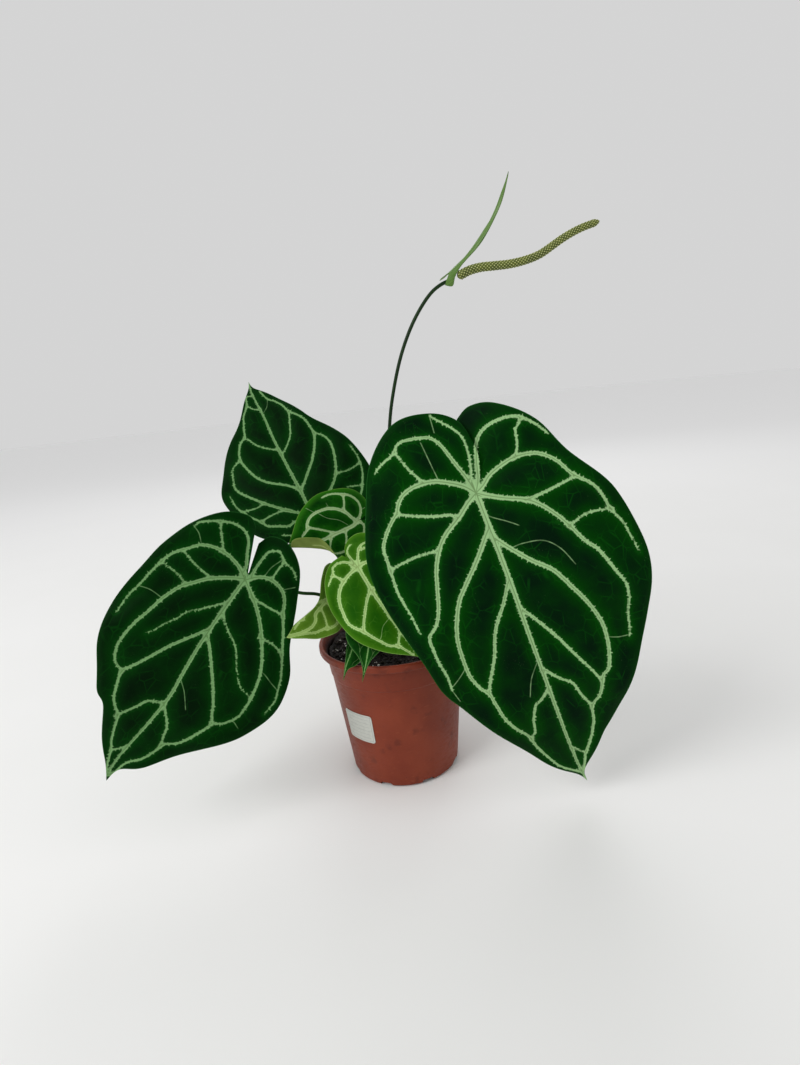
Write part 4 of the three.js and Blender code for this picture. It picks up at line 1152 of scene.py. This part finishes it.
def pot_material():
    """Clouded plastic with scuffs, dirt and pits, its inner wall darkened by soil dust and painted
    shade.
    """
    graph = Graph("terracotta_plastic", Roughness=0.46)
    graph.shader.inputs["Specular IOR Level"].default_value = 0.22
    place = graph.place()
    cloud = graph.noise(place, 0.03, 4)
    colour = graph.mix(graph.span(cloud, 0.3, 0.7), srgb(114, 44, 24), srgb(128, 54, 31))
    scuffs = graph.noise(graph.stretch(place, (1, 1, 3)), 0.22, 5)
    colour = graph.mix(graph.span(scuffs, 0.6, 0.72, 0, 0.35), colour, srgb(150, 82, 58))
    dirt = graph.noise(place, 0.09, 5)
    colour = graph.mix(graph.span(dirt, 0.58, 0.72, 0, 0.5), colour, srgb(84, 32, 20))
    pits = graph.span(graph.noise(place, 0.8, 2), 0.72, 0.78, 0, 0.8)
    colour = graph.mix(pits, colour, srgb(60, 26, 20))
    # Inner wall: darker from the lip down, for soil dust and painted shade inside the pot
    wall = graph.field("inside")
    dust_and_shade = graph.span(graph.plus(dirt, graph.times(wall, 0.4)), 0.45, 0.7)
    dust_and_shade = graph.times(wall, dust_and_shade)
    colour = graph.mix(dust_and_shade, colour, srgb(34, 20, 16))
    rough = graph.span(scuffs, 0.4, 0.7, 0.4, 0.58)
    fine = graph.plus(graph.times(graph.noise(place, 1.5, 3), 0.5), cloud)
    return graph.finish(colour, fine, 0.18, rough)


def pot():
    """Floor, stepped wall and rolled lip as one thin body, with drain slots."""
    neck = POT_HEIGHT - POT_LIP_HEIGHT
    inner = POT_LIP_RADIUS - POT_LIP_THICKNESS
    step = wall_radius(POT_STEP_HEIGHT)
    profile = [
        (0.01, 0), (POT_BASE_RADIUS - 9, 0), (POT_BASE_RADIUS - 2, 0), (POT_BASE_RADIUS, 1.5),
        (step, POT_STEP_HEIGHT), (step + POT_STEP_DEPTH, POT_STEP_HEIGHT + 0.8),
        (POT_NECK_RADIUS, neck), (POT_LIP_RADIUS - 0.8, neck), (POT_LIP_RADIUS, neck + 1),
        (POT_LIP_RADIUS, POT_HEIGHT - 1), (POT_LIP_RADIUS - 1, POT_HEIGHT),
        (inner + 0.8, POT_HEIGHT), (inner, POT_HEIGHT - 0.8),
        (POT_NECK_RADIUS - POT_WALL, neck - 1.5), (POT_BASE_RADIUS - POT_WALL, POT_FLOOR),
        (0.01, POT_FLOOR),
    ]
    points, faces = turned(rounded(profile, 0.8), POT_SEGMENTS)
    height = points[:, 2]
    lip = np.flatnonzero(height > POT_HEIGHT - 0.01)[-1]
    # Share of the inner wall below the lip, which the material darkens with soil dust and painted
    # shade
    inside = (np.arange(len(points)) > lip) * smooth(0.5, 4, POT_HEIGHT - height)
    body = make_piece("nursery_pot", points, faces.tolist(), pot_material(), ["pot"],
                      {"inside": inside})
    shape = bmesh.new()
    shape.from_mesh(body.data)
    bmesh.ops.remove_doubles(shape, verts=shape.verts, dist=0.015 * MM)
    bmesh.ops.holes_fill(shape, edges=shape.edges)
    shape.to_mesh(body.data)
    shape.free()
    cut_drains(body)


def cut_drains(body):
    """Slots through the foot of the pot's wall."""
    shape = bmesh.new()
    size = Matrix.Diagonal((DRAIN_DEPTH * MM, DRAIN_WIDTH * MM, DRAIN_HEIGHT * 2 * MM, 1))
    at = Matrix.Translation((POT_BASE_RADIUS * MM, 0, 0))
    for number in range(DRAIN_COUNT):
        turn = Matrix.Rotation(math.radians(DRAIN_TURN + 360 * number / DRAIN_COUNT), 4, "Z")
        bmesh.ops.create_cube(shape, size=1, matrix=turn @ at @ size)
    long_edges = [edge for edge in shape.edges if edge.calc_length() > DRAIN_DEPTH * MM * 0.9]
    bmesh.ops.bevel(shape, geom=long_edges, offset=0.8 * MM, segments=3, affect="EDGES")
    mesh = bpy.data.meshes.new("drain_cutter")
    shape.to_mesh(mesh)
    shape.free()
    cutter = add_object("drain_cutter", mesh)
    cut = body.modifiers.new("drains", "BOOLEAN")
    cut.operation = "DIFFERENCE"
    cut.solver = "EXACT"
    cut.object = cutter
    bpy.context.view_layer.update()
    whole = body.evaluated_get(bpy.context.evaluated_depsgraph_get())
    cut_mesh = bpy.data.meshes.new_from_object(whole)
    body.modifiers.clear()
    body.data = cut_mesh
    bpy.data.objects.remove(cutter)
    body.data.shade_smooth()
    body.data.set_sharp_from_angle(angle=math.radians(35))


def label_material(half_x, half_y):
    """Pale paper with a thin border and a few ruled lines."""
    graph = Graph("label_paper", Roughness=0.42)
    spot = graph.field("spot", "Vector")
    split = graph.tree.nodes.new("ShaderNodeSeparateXYZ")
    graph.put(split.inputs[0], spot)
    from_side = graph.math("SUBTRACT", half_x - LABEL_BORDER, graph.absolute(split.outputs[0]))
    from_end = graph.math("SUBTRACT", half_y - LABEL_BORDER, graph.absolute(split.outputs[1]))
    inset = graph.math("MINIMUM", from_side, from_end)
    border = graph.span(graph.absolute(inset), 0.12, 0.22, 1, 0)
    row = graph.math("FRACT", graph.math("DIVIDE", split.outputs[1], LABEL_RULE))
    off_rule = graph.absolute(graph.math("SUBTRACT", row, 0.5))
    rules = graph.times(graph.span(off_rule, 0.03, 0.06, 1, 0), graph.span(inset, 1.8, 1.9))
    ink = graph.times(graph.math("MAXIMUM", border, rules), 0.55)
    worn = graph.span(graph.noise(spot, 0.3, 3), 0.4, 0.7, 0, 0.5)
    paper = graph.mix(worn, srgb(188, 190, 182), srgb(172, 174, 166))
    colour = graph.mix(ink, paper, srgb(120, 124, 126))
    return graph.finish(colour, graph.noise(spot, 0.15, 2), 0.1)


def label():
    """A plain sticker with rounded corners, bent round the pot."""
    columns, rows = LABEL_COLUMNS, LABEL_ROWS
    turn = math.radians(LABEL_RIGHT - LABEL_LEFT)
    middle = (LABEL_TOP + LABEL_BOTTOM) / 2
    half_x = turn * wall_radius(middle) / 2
    half_y = (LABEL_TOP - LABEL_BOTTOM) / 2
    x, y = np.meshgrid(np.linspace(-1, 1, columns + 1), np.linspace(-1, 1, rows + 1))
    px, py = x * half_x, y * half_y
    straight_x, straight_y = half_x - LABEL_CORNER, half_y - LABEL_CORNER
    cut_x = np.abs(px) - straight_x
    cut_y = np.abs(py) - straight_y
    in_corner = (cut_x > 0) & (cut_y > 0)
    pull = np.maximum(cut_x, cut_y) / np.maximum(np.hypot(cut_x, cut_y), 1e-9)
    px = np.where(in_corner, np.sign(px) * (straight_x + cut_x * pull), px)
    py = np.where(in_corner, np.sign(py) * (straight_y + cut_y * pull), py)

    azimuth = math.radians((LABEL_LEFT + LABEL_RIGHT) / 2) + px / half_x * turn / 2
    height = middle + py
    slope = (POT_NECK_RADIUS - POT_STEP_DEPTH - POT_BASE_RADIUS) / (POT_HEIGHT - POT_LIP_HEIGHT)
    layers = []
    for lift in LABEL_LIFTS:
        radius = POT_BASE_RADIUS + slope * height + lift
        layer = np.stack([radius * np.cos(azimuth), radius * np.sin(azimuth), height], -1)
        layers.append(layer.reshape(-1, 3))
    count = (rows + 1) * (columns + 1)
    numbers = np.arange(count).reshape(rows + 1, columns + 1)
    rim = np.concatenate([numbers[0], numbers[1:, -1], numbers[-1, -2::-1], numbers[-2::-1, 0]])
    faces = [
        *grid_faces(rows, columns, 0, True).tolist(),
        *grid_faces(rows, columns, count).tolist(),
        *strip_faces(rim, rim + count).tolist(),
    ]
    spots = np.vstack([plane_field(px, py)] * 2)
    make_piece("pot_label", np.vstack(layers), faces, label_material(half_x, half_y), ["label"],
               {"spot": spots}, weld=0.005)


def soil_height(x, y):
    """Height of the mix between its loose bits."""
    waves = np.sin(x * 0.19 + 1.3) * np.cos(y * 0.17 - 0.6) + 0.6 * np.sin(x * 0.43 - y * 0.37)
    return SOIL_LEVEL + SOIL_ROUGHNESS * waves


def lump(centre, size, flat, seed):
    """A rough pebble or chip of bark as points and faces."""
    shape = bmesh.new()
    bmesh.ops.create_icosphere(shape, subdivisions=2 if flat > 0.7 else 1, radius=1)
    turn = Matrix.Rotation(seed * 7.1, 3, "Z") @ Matrix.Rotation(math.sin(seed) * 0.9, 3, "X")
    points = []
    for vert in shape.verts:
        bump = 1 + 0.28 * noise.noise(vert.co * 1.7 + Vector((seed, seed * 0.7, 0)))
        scaled = Vector((vert.co.x, vert.co.y * (0.5 + 0.5 * flat), vert.co.z * flat)) * bump * size
        points.append(np.array(centre) + np.array(turn @ scaled))
    faces = [[v.index for v in face.verts] for face in shape.faces]
    shape.free()
    return points, faces


def soil_material():
    """Dark bark and fibre, and perlite where the white field is 1."""
    graph = Graph("potting_mix", Roughness=0.9)
    grain = graph.noise(graph.place(), 0.7, 5)
    dark = graph.mix(graph.field("tone"), srgb(12, 8, 8), srgb(38, 26, 20))
    dark = graph.mix(graph.span(grain, 0.45, 0.7, 0, 0.6), dark, srgb(52, 36, 28))
    perlite = graph.mix(grain, srgb(196, 192, 184), srgb(232, 230, 224))
    return graph.finish(graph.mix(graph.field("white"), dark, perlite), grain, 0.7)


def soil_body(rim, inner):
    """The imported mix: a body that fills the pot, with a rough top."""
    floor_height = POT_FLOOR + GAP
    radius = np.concatenate([
        [0.01, POT_BASE_RADIUS - DRAIN_DEPTH, wall_radius(floor_height + 5) - inner - 0.5],
        rim - (rim - 0.01) * (np.arange(SOIL_RINGS + 1) / SOIL_RINGS),
    ])
    height = np.concatenate([
        [floor_height, floor_height, DRAIN_HEIGHT + 3],
        np.full(SOIL_RINGS + 1, float(SOIL_LEVEL)),
    ])
    points, faces = turned(np.column_stack([radius, height]), SOIL_SEGMENTS)
    top = points[:, 2] > SOIL_LEVEL - 0.01
    x, y = points[top, 0], points[top, 1]
    spots = (Vector((a * 0.22, b * 0.22, 0)) for a, b in zip(x, y))
    rough = np.array([noise.fractal(spot, 0.9, 2.1, 5) for spot in spots])
    points[top, 2] = soil_height(x, y) + 1.3 * rough - 0.5
    return points, faces.tolist()


def soil():
    """The mix with loose chips of bark and grains of perlite on it."""
    inner = POT_WALL + POT_STEP_DEPTH + GAP
    rim = wall_radius(SOIL_LEVEL) - inner - 0.3
    points, faces = soil_body(rim, inner)
    all_points = [points]
    tone = [np.full(len(points), 0.15)]
    white = [np.zeros(len(points))]
    first = len(points)
    for number in range(LOOSE_BITS):
        pale = number < PERLITE
        reach = math.sqrt(RANDOM.uniform(0.03, 0.97)) * (rim - 1.5)
        angle = RANDOM.uniform(0, 2 * math.pi)
        if number < PERLITE_IN_VIEW:
            angle = math.radians(RANDOM.normal(PERLITE_AZIMUTH, PERLITE_SPREAD))
            reach = (rim - 2) * RANDOM.uniform(0.6, 0.98)
        size = RANDOM.uniform(*(PERLITE_SIZE if pale else BARK_SIZE))
        flat = RANDOM.uniform(*(PERLITE_FLATNESS if pale else BARK_FLATNESS))
        x, y = reach * math.cos(angle), reach * math.sin(angle)
        centre = (x, y, soil_height(x, y) + RANDOM.uniform(-0.2, 0.9))
        found, corners = lump(centre, size, flat, number * 1.37)
        all_points.append(np.array(found))
        faces += [[index + first for index in face] for face in corners]
        tone.append(np.full(len(found), RANDOM.uniform(0, 1)))
        white.append(np.full(len(found), float(pale)))
        first += len(found)
    fields = {"tone": np.concatenate(tone), "white": np.concatenate(white)}
    make_piece("potting_mix", np.vstack(all_points), faces, soil_material(), ["soil"],
               fields, sharp=180)


pot()
label()
soil()


def camera():
    """The photo's viewing angle."""
    data = bpy.data.cameras.new("camera")
    data.sensor_width = 36
    data.sensor_fit = "AUTO"
    data.lens = data.sensor_width * FOCAL_PIXELS / LONG_SIDE
    data.clip_start = 0.01
    data.clip_end = 100
    made = add_object("camera", data)
    turn = (Matrix.Rotation(math.radians(CAMERA_YAW), 4, "Z")
            @ Matrix.Rotation(math.radians(90 + CAMERA_PITCH), 4, "X")
            @ Matrix.Rotation(math.radians(CAMERA_ROLL), 4, "Z"))
    made.matrix_world = Matrix.Translation(Vector(CAMERA_PLACE) * MM) @ turn
    bpy.context.scene.camera = made


def floor():
    """A pale floor that grows lighter away from the plant."""
    points, faces = turned([(radius, 0) for radius in FLOOR_RADII], FLOOR_SEGMENTS)
    mesh = bpy.data.meshes.new("floor")
    mesh.from_pydata((points * MM).tolist(), [], faces[:, ::-1].tolist())
    graph = Graph("pale_floor", Roughness=0.7)
    tone = graph.noise(graph.place(), 0.004, 3)
    away = graph.node("ShaderNodeVectorMath", {0: graph.place()}, 1, operation="LENGTH")
    near = graph.mix(tone, srgb(232, 232, 230), srgb(238, 238, 237))
    colour = graph.mix(graph.span(away, 300, 2500), near, srgb(252, 252, 252))
    mesh.materials.append(graph.finish(colour))
    add_object("floor", mesh)


def light(name, place, aim, size, power):
    """A square soft light."""
    data = bpy.data.lights.new(name, "AREA")
    data.shape = "SQUARE"
    data.size = size
    data.energy = power
    made = add_object(name, data)
    made.location = place
    made.rotation_mode = "QUATERNION"
    made.rotation_quaternion = (Vector(aim) - Vector(place)).to_track_quat("-Z", "Y")


camera()
floor()
for name, settings in LIGHTS.items():
    light(name, *settings)

world = bpy.data.worlds.new("studio")
bpy.context.scene.world = world
world.use_nodes = True
background = world.node_tree.nodes["Background"]
background.inputs["Color"].default_value = (1, 1, 1, 1)
background.inputs["Strength"].default_value = WORLD_LIGHT
bpy.context.scene.view_settings.view_transform = "Standard"
